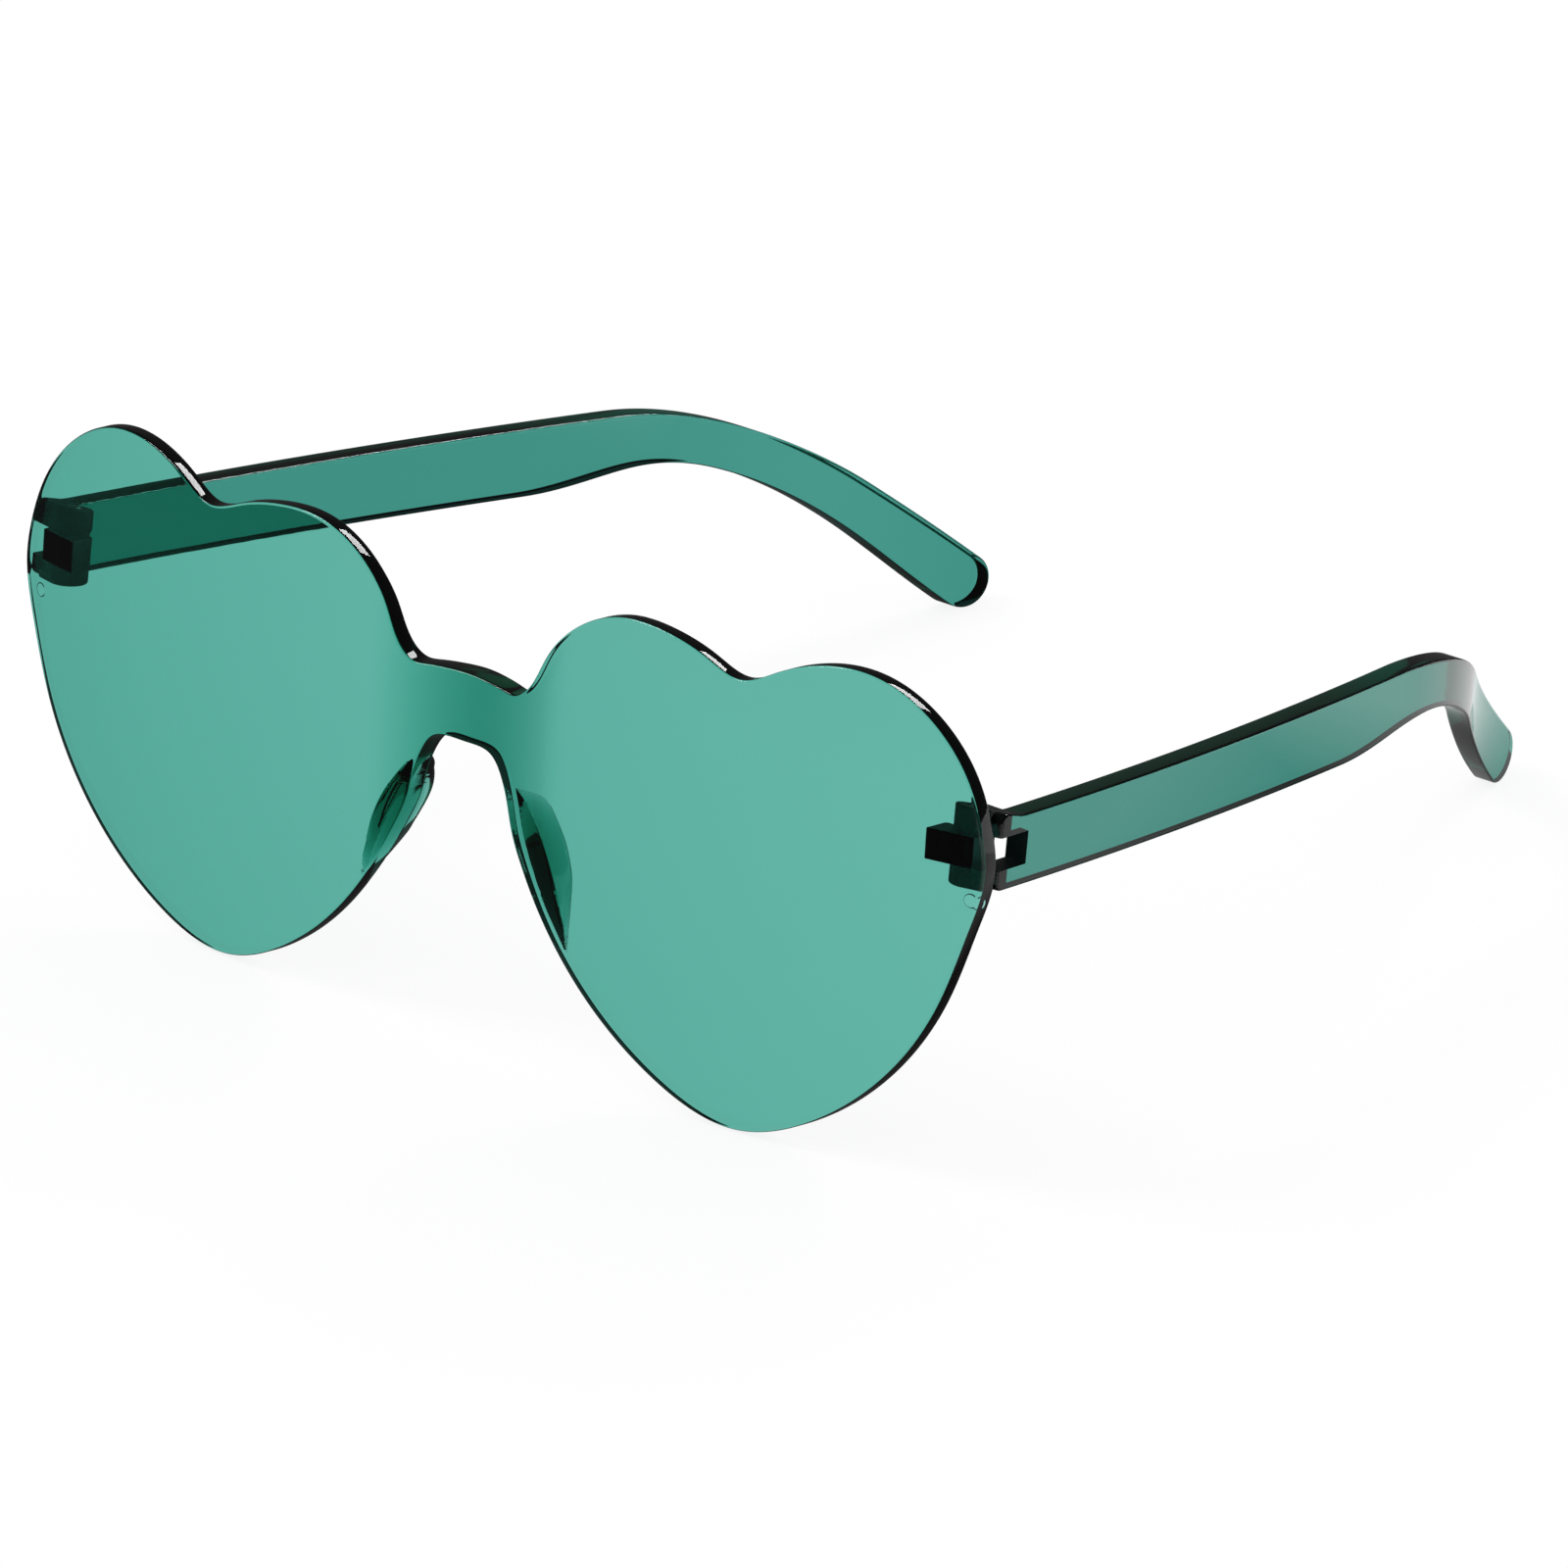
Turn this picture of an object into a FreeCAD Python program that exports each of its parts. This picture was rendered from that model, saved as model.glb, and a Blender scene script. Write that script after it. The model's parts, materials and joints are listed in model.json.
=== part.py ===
import FreeCAD, Part
import math
import os

from FreeCAD import Placement, Rotation, Vector

# Rimless sunglasses: two heart lenses moulded in one piece with the bridge, the nose pads and the hinge
# knuckles, and two fork-ended temples that fold on pressed steel pins.
# Every piece is drawn as worn: X across the face, +Y towards the ears, +Z up, with Z = 0 at mid hinge
# height and Y = 0 at the foremost point of a lens. The finished pieces are tipped together at the end,
# so that the glasses stand on their heart tips and temple tips.

doc = FreeCAD.newDocument("heart_sunglasses")

# Driving sizes in millimetres, angles in degrees
SIZES = (
    ("overall_width", 145.0),
    ("heart_height", 59.5),
    ("hinge_height", 41.0),
    ("sheet_thickness", 2.2),
    ("rim_bevel", 0.3),
    ("lens_radius", 186.0),
    ("apex_offset", 22.2),
    ("apex_rise", 8.0),
    ("bridge_reach", 12.0),
    ("bridge_setback", 1.2),
    ("bridge_thickness", 3.8),
    ("pad_width", 4.0),
    ("pad_rise", 4.6),
    ("pad_root", 1.0),
    ("pad_crest", 2.0),
    ("pad_draft", 0.4),
    ("pad_ledge", 0.2),
    ("pin_inset", 4.6),
    ("pin_diameter", 1.4),
    ("pin_head_diameter", 2.2),
    ("pin_head_height", 0.5),
    ("pin_head_sink", 1.15),
    ("pin_dome", 0.25),
    ("running_clearance", 0.05),
    ("barrel_radius", 2.3),
    ("knuckle_radius", 2.1),
    ("knuckle_height", 3.7),
    ("knuckle_reach", 3.7),
    ("knuckle_root", 0.8),
    ("knuckle_relief", 0.3),
    ("fork_gap", 0.2),
    ("fork_side_gap", 0.1),
    ("slot_reach", 4.0),
    ("ejector_diameter", 1.6),
    ("ejector_depth", 0.15),
    ("ejector_drop", 5.6),
    ("ejector_inset", 2.5),
    ("temple_thickness", 3.0),
    ("temple_height", 8.4),
    ("temple_top", 4.0),
    ("temple_bevel", 0.5),
    ("shoulder_rise", 1.1),
    ("shoulder_run", 5.0),
    ("beam_splay", 3.8),
    ("beam_bow_radius", 685.0),
    ("hook_bow_radius", 72.0),
    ("hook_lag", 2.5),
    ("hook_run", 25.5),
    ("toe_bow_radius", 65.0),
    ("bend_start", 84.0),
    ("bend_radius", 56.0),
    ("bend_angle", 34.4),
    ("taper_run", 13.0),
    ("neck_height", 5.6),
    ("paddle_height", 6.6),
    ("paddle_run", 18.5),
    ("overrun", 2.0),
)

# Right heart as shares of half the overall width and of the heart height, from the top of the bridge round
# its corner, over both lobes, down the outer side and round the tip
HEART_SHARES = (
    (0.104, 0.745),
    (0.123, 0.754),
    (0.139, 0.776),
    (0.167, 0.841),
    (0.312, 0.967),
    (0.403, 0.967),
    (0.484, 0.942),
    (0.553, 0.918),
    (0.615, 0.950),
    (0.800, 0.988),
    (0.957, 0.843),
    (0.993, 0.728),
    (1.000, 0.655),
    (0.978, 0.541),
    (0.928, 0.375),
    (0.680, 0.053),
    (0.533, 0.000),
    (0.388, 0.060),
)
TIP_SHARE = 0.533

# The same outline along the nose, which carries a pad
NASAL_SHARES = (
    (0.209, 0.254),
    (0.156, 0.352),
    (0.132, 0.407),
    (0.111, 0.465),
    (0.098, 0.525),
    (0.087, 0.563),
)

# Corner and middle of the nose arch, and middle of the top of the bridge
CORNER_SHARES = ((0.061, 0.6065),)
ARCH_SHARES = (0, 0.615)
CROWN_SHARES = (0, 0.746)

# Width and rise of the pad at each point of the nasal outline
PAD_WIDTH_SHARES = (0.25, 0.80, 1.00, 0.97, 0.58, 0.20)
PAD_RISE_SHARES = (-0.10, 0.70, 0.95, 1.00, 0.68, -0.10)

# Length of the handles of an eased curve, as a share of the distance between its ends
EASE_SHARE = 0.4

sheet = doc.addObject("Spreadsheet::Sheet", "Sizes")
for row, (alias, value) in enumerate(SIZES, start=1):
    sheet.set(f"A{row}", alias)
    sheet.set(f"B{row}", str(value))
    sheet.setAlias(f"B{row}", alias)
doc.recompute()


def size(alias):
    """Value of a driving size, read from the sheet."""
    return float(sheet.get(alias))


HALF_WIDTH = size("overall_width") / 2
TIP_Z = -size("hinge_height")
REAR_RADIUS = size("lens_radius") - size("sheet_thickness")
OVERRUN = size("overrun")

TEMPLE_TOP = size("temple_top")
TEMPLE_BOTTOM = TEMPLE_TOP - size("temple_height")

# Right hinge in plan: the barrel clears the rear of the lens by the fork gap where the lens comes closest,
# at the foot of the fork
PIN_X = HALF_WIDTH - size("pin_inset")
FOOT_RADIUS = math.sqrt(REAR_RADIUS ** 2 - (TEMPLE_BOTTOM - size("apex_rise")) ** 2)
PIN_REACH = FOOT_RADIUS - size("barrel_radius") - size("fork_gap")
WRAP = math.asin((PIN_X - size("apex_offset")) / PIN_REACH)
PIN_Y = size("lens_radius") - PIN_REACH * math.cos(WRAP)
LUG_TOP = TEMPLE_TOP + size("shoulder_rise")
HEAD_SEAT = LUG_TOP - size("pin_head_sink")
FORK_FRONT = PIN_Y - size("barrel_radius")
BEND_Y = PIN_Y + size("bend_start")
BEND_ANGLE = math.radians(size("bend_angle"))

X_AXIS = Vector(1, 0, 0)
Y_AXIS = Vector(0, 1, 0)
Z_AXIS = Vector(0, 0, 1)
FRONT_VIEW = Rotation(X_AXIS, 90)


def add(kind, name, **properties):
    """Add a document object and set its properties."""
    item = doc.addObject(kind, name)
    for key, value in properties.items():
        setattr(item, key, value)
    return item


def bind(item, **expressions):
    """Bind properties of an object to the sheet, with double underscores for the dots of a path."""
    for key, expression in expressions.items():
        item.setExpression(key.replace("__", "."), expression)
    return item


def flat(across, along):
    """Point of a sketch."""
    return Vector(across, along, 0)


def polar(centre, radius, angle):
    """Point of a sketch at an angle in radians round a centre."""
    return centre + flat(radius * math.cos(angle), radius * math.sin(angle))


def arc(centre, radius, start, end):
    """Round edge about a centre between two angles in radians."""
    middle = (start + end) / 2
    return Part.Arc(*(polar(centre, radius, angle) for angle in (start, middle, end)))


def chain(*points):
    """Straight edges from point to point."""
    return [Part.LineSegment(a, b) for a, b in zip(points, points[1:])]


def loop(*points):
    """Straight edges round a closed polygon."""
    return chain(*points, points[0])


def box_loop(low, high):
    """Rectangle between two opposite corners."""
    return loop(low, flat(high.x, low.y), high, flat(low.x, high.y))


def curve_through(points, closed=False):
    """Smooth edge through the points."""
    curve = Part.BSplineCurve()
    curve.interpolate(Points=points, PeriodicFlag=closed)
    return curve


def eased(start, leaving, end, arriving):
    """Smooth edge between two points with unit directions at its ends."""
    handle = (end - start).Length * EASE_SHARE
    curve = Part.BezierCurve()
    curve.setPoles([start, start + leaving * handle, end - arriving * handle, end])
    return curve.toBSpline()


def on_side(edges, side):
    """The edges as drawn for side 1, or their mirror image for side -1."""
    if side < 0:
        for edge in edges:
            edge.mirror(Vector(), Y_AXIS)
    return edges


def free_sketch(name, edges, base=Vector(), rotation=Rotation()):
    """Sketch that stands outside a body."""
    sketch = add("Sketcher::SketchObject", name, Placement=Placement(base, rotation))
    sketch.addGeometry(edges, False)
    return sketch


def body_sketch(body, role, name, edges, offset=Vector()):
    """Sketch on an origin plane of its body."""
    plane = next(item for item in body.Origin.OriginFeatures if item.Role == role)
    sketch = body.newObject("Sketcher::SketchObject", name)
    sketch.AttachmentSupport = (plane, "")
    sketch.MapMode = "FlatFace"
    sketch.AttachmentOffset = Placement(offset, Rotation())
    sketch.addGeometry(edges, False)
    return sketch


def extruded(name, sketch, direction, forward, backward="0"):
    """Solid prism of a sketch, with lengths bound to the sheet."""
    prism = add("Part::Extrusion", name, Base=sketch, DirMode="Custom", Dir=direction, Solid=True)
    return bind(prism, LengthFwd=forward, LengthRev=backward)


def mirrored(item, name):
    """Mirror image of an object on the other side of the face."""
    return add("Part::Mirroring", name, Source=item, Base=Vector(), Normal=X_AXIS)


def heart_point(share):
    """Place in the front view of a point of the outline."""
    return flat(HALF_WIDTH * share[0], TIP_Z + size("heart_height") * share[1])


def lens_y(radius, x, z):
    """Depth of the right lens sphere of the given radius at a place in the front view."""
    across = x - size("apex_offset")
    along = z - size("apex_rise")
    return size("lens_radius") - math.sqrt(radius ** 2 - across ** 2 - along ** 2)


# Front: hearts, bridge, nose pads and hinge knuckles in one moulding


def section_edges(radius, middle):
    """One face of the front in plan: a lens arc each side and an eased bridge through a middle point."""
    centre = flat(size("apex_offset"), size("lens_radius"))
    inner = math.asin((size("bridge_reach") - centre.x) / radius)
    outer = math.asin((HALF_WIDTH + OVERRUN - centre.x) / radius)
    joint = polar(centre, radius, inner - math.pi / 2)
    inward = flat(-math.cos(inner), -math.sin(inner))
    edges = []
    for side in (1, -1):
        half = [
            arc(centre, radius, outer - math.pi / 2, inner - math.pi / 2),
            eased(joint, inward, middle, flat(-1, 0)),
        ]
        edges += on_side(half, side)
    return edges


def front_blank():
    """Front before trimming: its plan section, turned about the line through both lens centres."""
    axis = Vector(0, size("lens_radius"), size("apex_rise"))
    front_middle = flat(0, size("bridge_setback"))
    rear_middle = front_middle + flat(0, size("bridge_thickness"))
    edges = section_edges(size("lens_radius"), front_middle) + section_edges(REAR_RADIUS, rear_middle)
    spread = HALF_WIDTH + OVERRUN
    front_end = flat(spread, lens_y(size("lens_radius"), spread, axis.z))
    rear_end = flat(spread, lens_y(REAR_RADIUS, spread, axis.z))
    for side in (1, -1):
        edges += on_side([Part.LineSegment(front_end, rear_end)], side)
    section = free_sketch("front_section", edges, Vector(0, 0, axis.z))
    least = axis.y - rear_end.y
    sweep = 2 * math.degrees(math.asin((axis.z - TIP_Z + OVERRUN) / least))
    turned = add("Part::Revolution", "front_blank", Source=section, Axis=X_AXIS, Symmetric=True, Solid=True)
    turned.Angle = sweep
    return bind(turned, Base__y="Sizes.lens_radius", Base__z="Sizes.apex_rise")


def outline_prism():
    """Whole outline in the front view: both hearts, the bridge top and the nose arch."""
    right = [heart_point(share) for share in HEART_SHARES + NASAL_SHARES + CORNER_SHARES]
    left = [flat(-point.x, point.y) for point in reversed(right)]
    middle = [heart_point(ARCH_SHARES)]
    crown = [heart_point(CROWN_SHARES)]
    edge = curve_through(right + middle + left + crown, closed=True)
    outline = free_sketch("outline", [edge], rotation=FRONT_VIEW)
    return extruded("outline_prism", outline, Y_AXIS, "Sizes.lens_radius / 2", "Sizes.overrun")


def nose_pad():
    """Right nose pad: a crescent that swells from the rear of the lens along its nasal edge."""
    sections = []
    for number, share in enumerate(NASAL_SHARES):
        nose = heart_point(share)
        width = size("pad_width") * PAD_WIDTH_SHARES[number]
        inner = nose.x + size("pad_ledge")
        outer = inner + width
        rear = lens_y(REAR_RADIUS, outer, nose.y)
        root = rear - size("pad_root")
        crest = rear + size("pad_rise") * PAD_RISE_SHARES[number]
        round_width = min(size("pad_crest"), width / 2)
        wall = flat(outer - size("pad_draft") * PAD_WIDTH_SHARES[number], crest)
        top = wall + flat(-round_width / 2, round_width / 4)
        slope = wall + flat(-round_width, 0)
        edges = chain(slope, flat(inner, root), flat(outer, root), wall)
        edges.append(Part.Arc(wall, top, slope))
        sections.append(free_sketch(f"pad_section_{number}", edges, Vector(0, 0, nose.y)))
    return add("Part::Loft", "nose_pad", Sections=sections, Solid=True, Ruled=False)


def hinge_knuckle():
    """Right hinge knuckle: an eye for the pin on a rib that stands on the rear of the lens."""
    pin = flat(PIN_X, PIN_Y)
    radius = size("knuckle_radius")
    inboard = PIN_X - size("knuckle_reach")
    back = PIN_Y - size("knuckle_relief")
    outboard = PIN_X + radius * math.cos(WRAP)
    root = lens_y(REAR_RADIUS, inboard, 0) - size("knuckle_root")
    edge_root = lens_y(REAR_RADIUS, outboard, 0) - size("knuckle_root")
    meet = math.pi + math.asin(size("knuckle_relief") / radius)
    edges = chain(
        polar(pin, radius, WRAP),
        flat(outboard, edge_root),
        flat(inboard, root),
        flat(inboard, back),
        polar(pin, radius, meet),
    )
    edges.append(arc(pin, radius, WRAP, meet))
    plan = free_sketch("knuckle_plan", edges, Vector(0, 0, -size("knuckle_height") / 2))
    return extruded("hinge_knuckle", plan, Z_AXIS, "Sizes.knuckle_height")


def knuckle_bore():
    """Running bore for the pin through the right knuckle."""
    bore = bind(
        add("Part::Cylinder", "knuckle_bore"),
        Radius="Sizes.pin_diameter / 2 + Sizes.running_clearance",
        Height="Sizes.knuckle_height + 2 * Sizes.overrun",
    )
    bore.Placement = Placement(Vector(PIN_X, PIN_Y, -size("knuckle_height") / 2 - OVERRUN), Rotation())
    return bore


def ejector_mark():
    """Shallow round mark of the mould's ejector pin, on the rear of the right lens below its hinge."""
    x = HALF_WIDTH - size("ejector_inset")
    z = -size("ejector_drop")
    spot = Vector(x, lens_y(REAR_RADIUS, x, z), z)
    centre = Vector(size("apex_offset"), size("lens_radius"), size("apex_rise"))
    inward = (centre - spot).normalize()
    mark = bind(
        add("Part::Cylinder", "ejector_mark"),
        Radius="Sizes.ejector_diameter / 2",
        Height="Sizes.ejector_depth + Sizes.fork_gap",
    )
    mark.Placement = Placement(spot - inward * size("ejector_depth"), Rotation(Z_AXIS, inward))
    return mark


def rim_edges(shape):
    """Numbers of the edges round the outline, in front and behind, without the seam of its wall."""
    wall = next(face for face in shape.Faces if face.Surface.TypeId == "Part::GeomSurfaceOfExtrusion")
    rim = [edge for edge in wall.Edges if edge.Curve.TypeId != "Part::GeomLine"]
    numbered = enumerate(shape.Edges, start=1)
    return [number for number, edge in numbered if any(edge.isSame(other) for other in rim)]


def bevelled_sheet():
    """Both hearts and the bridge, trimmed to the outline and bevelled round the rim."""
    trimmed = add("Part::Common", "front_trimmed", Base=front_blank(), Tool=outline_prism())
    doc.recompute()
    bevel = size("rim_bevel")
    edges = [(number, bevel, bevel) for number in rim_edges(trimmed.Shape)]
    return add("Part::Chamfer", "front_bevelled", Base=trimmed, Edges=edges)


def heart_front():
    """Front in one piece."""
    sheet_part = bevelled_sheet()
    pad = nose_pad()
    knuckle = hinge_knuckle()
    solids = [sheet_part, pad, knuckle, mirrored(pad, "left_nose_pad"), mirrored(knuckle, "left_knuckle")]
    joined = add("Part::MultiFuse", "front_joined", Shapes=solids)
    bore = knuckle_bore()
    mark = ejector_mark()
    holes = [bore, mark, mirrored(bore, "left_bore"), mirrored(mark, "left_mark")]
    cuts = add("Part::Compound", "front_cuts", Links=holes)
    return add("Part::Cut", "heart_front", Base=joined, Tool=cuts)


# Temples: a bowed strip in plan, cut to the side view, with a slotted fork at the hinge


def temple_plan():
    """Plan of the right temple: hinge barrel, square front face, and a strip bowed inwards and back out."""
    pin = flat(PIN_X, PIN_Y)
    radius = size("barrel_radius")
    thickness = size("temple_thickness")
    beam = size("beam_bow_radius")
    hook = size("hook_bow_radius")
    toe = size("toe_bow_radius")
    front_angle = WRAP - math.pi / 2
    foot = polar(pin, radius, front_angle)
    corner = foot + flat(1, math.tan(WRAP)) * (HALF_WIDTH - foot.x)
    splay = math.radians(size("beam_splay"))
    beam_centre = polar(corner, -beam, splay)
    hook_start = BEND_Y + size("hook_lag")
    turn = math.asin((hook_start - beam_centre.y) / beam)
    hook_centre = polar(beam_centre, beam - hook, turn)
    sway = math.asin((hook_start + size("hook_run") - hook_centre.y) / hook)
    toe_centre = polar(hook_centre, hook + toe, sway)
    finish = math.pi - math.asin((tip_end().x + OVERRUN - toe_centre.y) / toe)
    inner = beam - thickness
    spread = pin - beam_centre
    opening = (inner ** 2 + spread.Length ** 2 - radius ** 2) / (2 * inner * spread.Length)
    start = math.atan2(spread.y, spread.x) + math.acos(opening)
    joint = polar(beam_centre, inner, start) - pin
    barrel_start = math.atan2(joint.y, joint.x)
    return [
        Part.LineSegment(foot, corner),
        arc(beam_centre, beam, splay, turn),
        arc(hook_centre, hook, turn, sway),
        arc(toe_centre, toe, math.pi + sway, finish),
        Part.LineSegment(polar(toe_centre, toe, finish), polar(toe_centre, toe + thickness, finish)),
        arc(toe_centre, toe + thickness, finish, math.pi + sway),
        arc(hook_centre, hook - thickness, sway, turn),
        arc(beam_centre, inner, turn, start),
        arc(pin, radius, barrel_start, front_angle + 2 * math.pi),
    ]


def tip_frame():
    """Start of the straight end behind the bend, its direction and the direction down across it."""
    crown = flat(BEND_Y, TEMPLE_TOP - size("bend_radius"))
    start = polar(crown, size("bend_radius"), math.pi / 2 - BEND_ANGLE)
    forward = flat(math.cos(BEND_ANGLE), -math.sin(BEND_ANGLE))
    down = flat(-math.sin(BEND_ANGLE), -math.cos(BEND_ANGLE))
    return crown, start, forward, down


def tip_centre():
    """Centre of the round end of a temple in the side view, as depth and height."""
    crown, start, forward, down = tip_frame()
    return start + forward * size("paddle_run") + down * (size("paddle_height") / 2)


def tip_end():
    """Rearmost place that the round end of a temple reaches, as depth and height."""
    return tip_centre() + flat(size("paddle_height") / 2, 0)


def temple_side():
    """Side view of a temple: shoulder over the fork, straight beam, bend, neck and paddle."""
    crown, start, forward, down = tip_frame()
    end = start + forward * size("paddle_run")
    heel = end + down * size("paddle_height")
    halfway = (math.pi - BEND_ANGLE) / 2
    neck = polar(crown, size("bend_radius") - size("neck_height"), halfway)
    rising = flat(-math.sin(halfway), math.cos(halfway))
    under = flat(BEND_Y - size("taper_run"), TEMPLE_BOTTOM)
    front = FORK_FRONT - OVERRUN
    edges = chain(
        under,
        flat(front, TEMPLE_BOTTOM),
        flat(front, LUG_TOP),
        flat(FORK_FRONT, LUG_TOP),
        flat(FORK_FRONT + size("shoulder_run"), TEMPLE_TOP),
        flat(BEND_Y, TEMPLE_TOP),
    )
    edges += [
        arc(crown, size("bend_radius"), math.pi / 2, math.pi / 2 - BEND_ANGLE),
        Part.LineSegment(start, end),
        Part.Arc(end, tip_centre() + forward * (size("paddle_height") / 2), heel),
        eased(heel, forward * -1, neck, rising),
        eased(neck, rising, under, flat(-1, 0)),
    ]
    return edges


def long_edges(shape):
    """Names of the edges that run along a temple, behind its fork."""
    names = []
    for index, edge in enumerate(shape.Edges, start=1):
        box = edge.BoundBox
        across = box.XLength > max(box.YLength, box.ZLength)
        behind = box.YMin > FORK_FRONT + size("shoulder_run") - Part.Precision.confusion()
        whole = box.YMax > FORK_FRONT + size("shoulder_run") + OVERRUN
        if whole and (behind or box.ZMax < 0) and not across:
            names.append(f"Edge{index}")
    return names


def temple(name):
    """The right temple."""
    body = doc.addObject("PartDesign::Body", name)
    low = tip_centre().y - size("paddle_height")
    high = LUG_TOP + OVERRUN
    plan = body_sketch(body, "XY_Plane", name + "_plan", temple_plan(), Vector(0, 0, low))
    strip = body.newObject("PartDesign::Pad", name + "_strip")
    strip.Profile = plan
    strip.Length = high - low
    frame = box_loop(
        flat(FORK_FRONT - 2 * OVERRUN, low - OVERRUN),
        flat(tip_end().x + 2 * OVERRUN, high + OVERRUN),
    )
    profile = body_sketch(body, "YZ_Plane", name + "_side", frame + temple_side())
    trim = body.newObject("PartDesign::Pocket", name + "_trim")
    trim.Profile = profile
    trim.Type = "ThroughAll"
    trim.Reversed = True
    doc.recompute()
    bevel = body.newObject("PartDesign::Chamfer", name + "_bevel")
    bevel.Base = (trim, long_edges(trim.Shape))
    bind(bevel, Size="Sizes.temple_bevel")
    half_slot = size("knuckle_height") / 2 + size("fork_side_gap")
    opening = box_loop(
        flat(FORK_FRONT - 2 * OVERRUN, -half_slot),
        flat(PIN_Y + size("slot_reach"), half_slot),
    )
    slot = body.newObject("PartDesign::Pocket", name + "_slot")
    slot.Profile = body_sketch(body, "YZ_Plane", name + "_opening", opening)
    slot.Type = "ThroughAll"
    slot.Reversed = True
    centre = Vector(PIN_X, PIN_Y, 0)
    bore_circle = [Part.Circle(centre, Z_AXIS, size("pin_diameter") / 2)]
    bore = body.newObject("PartDesign::Pocket", name + "_bore")
    bore.Profile = body_sketch(body, "XY_Plane", name + "_hole", bore_circle, Vector(0, 0, high))
    bore.Type = "ThroughAll"
    seat_radius = size("pin_head_diameter") / 2 + size("running_clearance")
    seat_circle = [Part.Circle(centre, Z_AXIS, seat_radius)]
    seat = body.newObject("PartDesign::Pocket", name + "_seat")
    seat.Profile = body_sketch(body, "XY_Plane", name + "_sink", seat_circle, Vector(0, 0, high))
    bind(seat, Length="Sizes.overrun + Sizes.pin_head_sink")
    return body


def hinge_pin(name):
    """Steel pin pressed into both lugs of the right fork, with a low domed head in its seat."""
    body = doc.addObject("PartDesign::Body", name)
    shank = size("pin_diameter") / 2
    head = size("pin_head_diameter") / 2
    dome = size("pin_dome")
    rim = HEAD_SEAT + size("pin_head_height")
    dome_radius = (head ** 2 + dome ** 2) / (2 * dome)
    dome_centre = flat(0, rim + dome - dome_radius)
    edges = chain(
        flat(0, rim + dome),
        flat(0, TEMPLE_BOTTOM),
        flat(shank, TEMPLE_BOTTOM),
        flat(shank, HEAD_SEAT),
        flat(head, HEAD_SEAT),
        flat(head, rim),
    )
    edges.append(arc(dome_centre, dome_radius, math.acos(head / dome_radius), math.pi / 2))
    profile = body_sketch(body, "XZ_Plane", name + "_profile", edges, Vector(PIN_X, 0, -PIN_Y))
    turned = body.newObject("PartDesign::Revolution", name + "_turned")
    turned.Profile = profile
    turned.ReferenceAxis = (profile, ["V_Axis"])
    turned.Angle = 360
    return body


def stand(pieces, images):
    """Tip the pieces until hearts and temples touch the table, with the origin under the middle of all.

    The mirror images follow their pieces.
    """
    heart = Vector(0, lens_y(REAR_RADIUS, HALF_WIDTH * TIP_SHARE, TIP_Z), TIP_Z)
    tip = tip_centre()
    run = tip.x - heart.y
    climb = tip.y - heart.z
    lean = math.atan2(climb, run) - math.asin(size("paddle_height") / 2 / math.hypot(run, climb))
    tipped = Placement(Vector(), Rotation(X_AXIS, -math.degrees(lean)))
    box = FreeCAD.BoundBox()
    for piece in pieces + images:
        shape = piece.Shape.copy()
        shape.Placement = tipped.multiply(shape.Placement)
        box.add(shape.optimalBoundingBox(False, False))
    middle = Vector(0, box.Center.y, box.ZMin)
    for piece in pieces:
        piece.Placement = Placement(-middle, tipped.Rotation)
    doc.recompute()
    print("lean in degrees:", round(math.degrees(lean), 3))
    print("size in millimetres:", [round(length, 2) for length in (box.XLength, box.YLength, box.ZLength)])


right_temple = temple("right_temple")
right_pin = hinge_pin("right_hinge_pin")
pieces = [heart_front(), right_temple, right_pin]
images = [mirrored(right_temple, "left_temple"), mirrored(right_pin, "left_hinge_pin")]
doc.recompute()
stand(pieces, images)

for item in doc.Objects:
    if "Invalid" in item.State or "Error" in item.State:
        raise RuntimeError(f"{item.Name} failed: {item.State}")
os.makedirs("parts", exist_ok=True)
for piece in pieces + images:
    if piece.Shape.isNull() or not piece.Shape.isValid():
        raise RuntimeError(f"{piece.Name} has no valid shape")
    piece.Label = piece.Name
    piece.Shape.exportStep(f"parts/{piece.Label}.step")
    print(piece.Label, "solids", len(piece.Shape.Solids), "volume", round(piece.Shape.Volume, 2))
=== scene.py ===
"""Dress the heart shaped sunglasses: clear sea-green mouldings on turned steel pins, in soft light."""

import json
import logging
import math
from dataclasses import dataclass, field
from enum import Enum
from typing import Any, Callable, Sequence

import bpy
import numpy as np
from mathutils import Euler, Matrix, Vector
from mathutils.geometry import delaunay_2d_cdt


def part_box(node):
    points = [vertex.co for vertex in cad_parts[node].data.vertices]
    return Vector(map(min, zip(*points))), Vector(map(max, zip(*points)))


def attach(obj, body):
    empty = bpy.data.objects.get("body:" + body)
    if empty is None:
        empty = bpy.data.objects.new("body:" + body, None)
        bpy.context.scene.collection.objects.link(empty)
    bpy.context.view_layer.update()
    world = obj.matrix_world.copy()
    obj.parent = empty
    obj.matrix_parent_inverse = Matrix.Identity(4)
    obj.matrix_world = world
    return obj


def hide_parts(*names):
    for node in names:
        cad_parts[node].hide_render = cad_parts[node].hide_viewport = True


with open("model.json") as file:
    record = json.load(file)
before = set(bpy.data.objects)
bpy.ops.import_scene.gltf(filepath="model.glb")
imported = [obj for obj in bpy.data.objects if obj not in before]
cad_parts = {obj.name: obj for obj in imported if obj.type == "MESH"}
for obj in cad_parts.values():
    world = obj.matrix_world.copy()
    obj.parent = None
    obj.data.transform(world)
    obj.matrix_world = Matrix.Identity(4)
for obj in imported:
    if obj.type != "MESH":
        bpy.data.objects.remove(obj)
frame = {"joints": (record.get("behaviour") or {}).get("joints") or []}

LOG = logging.getLogger("sunglasses")
MM = 0.001
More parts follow.
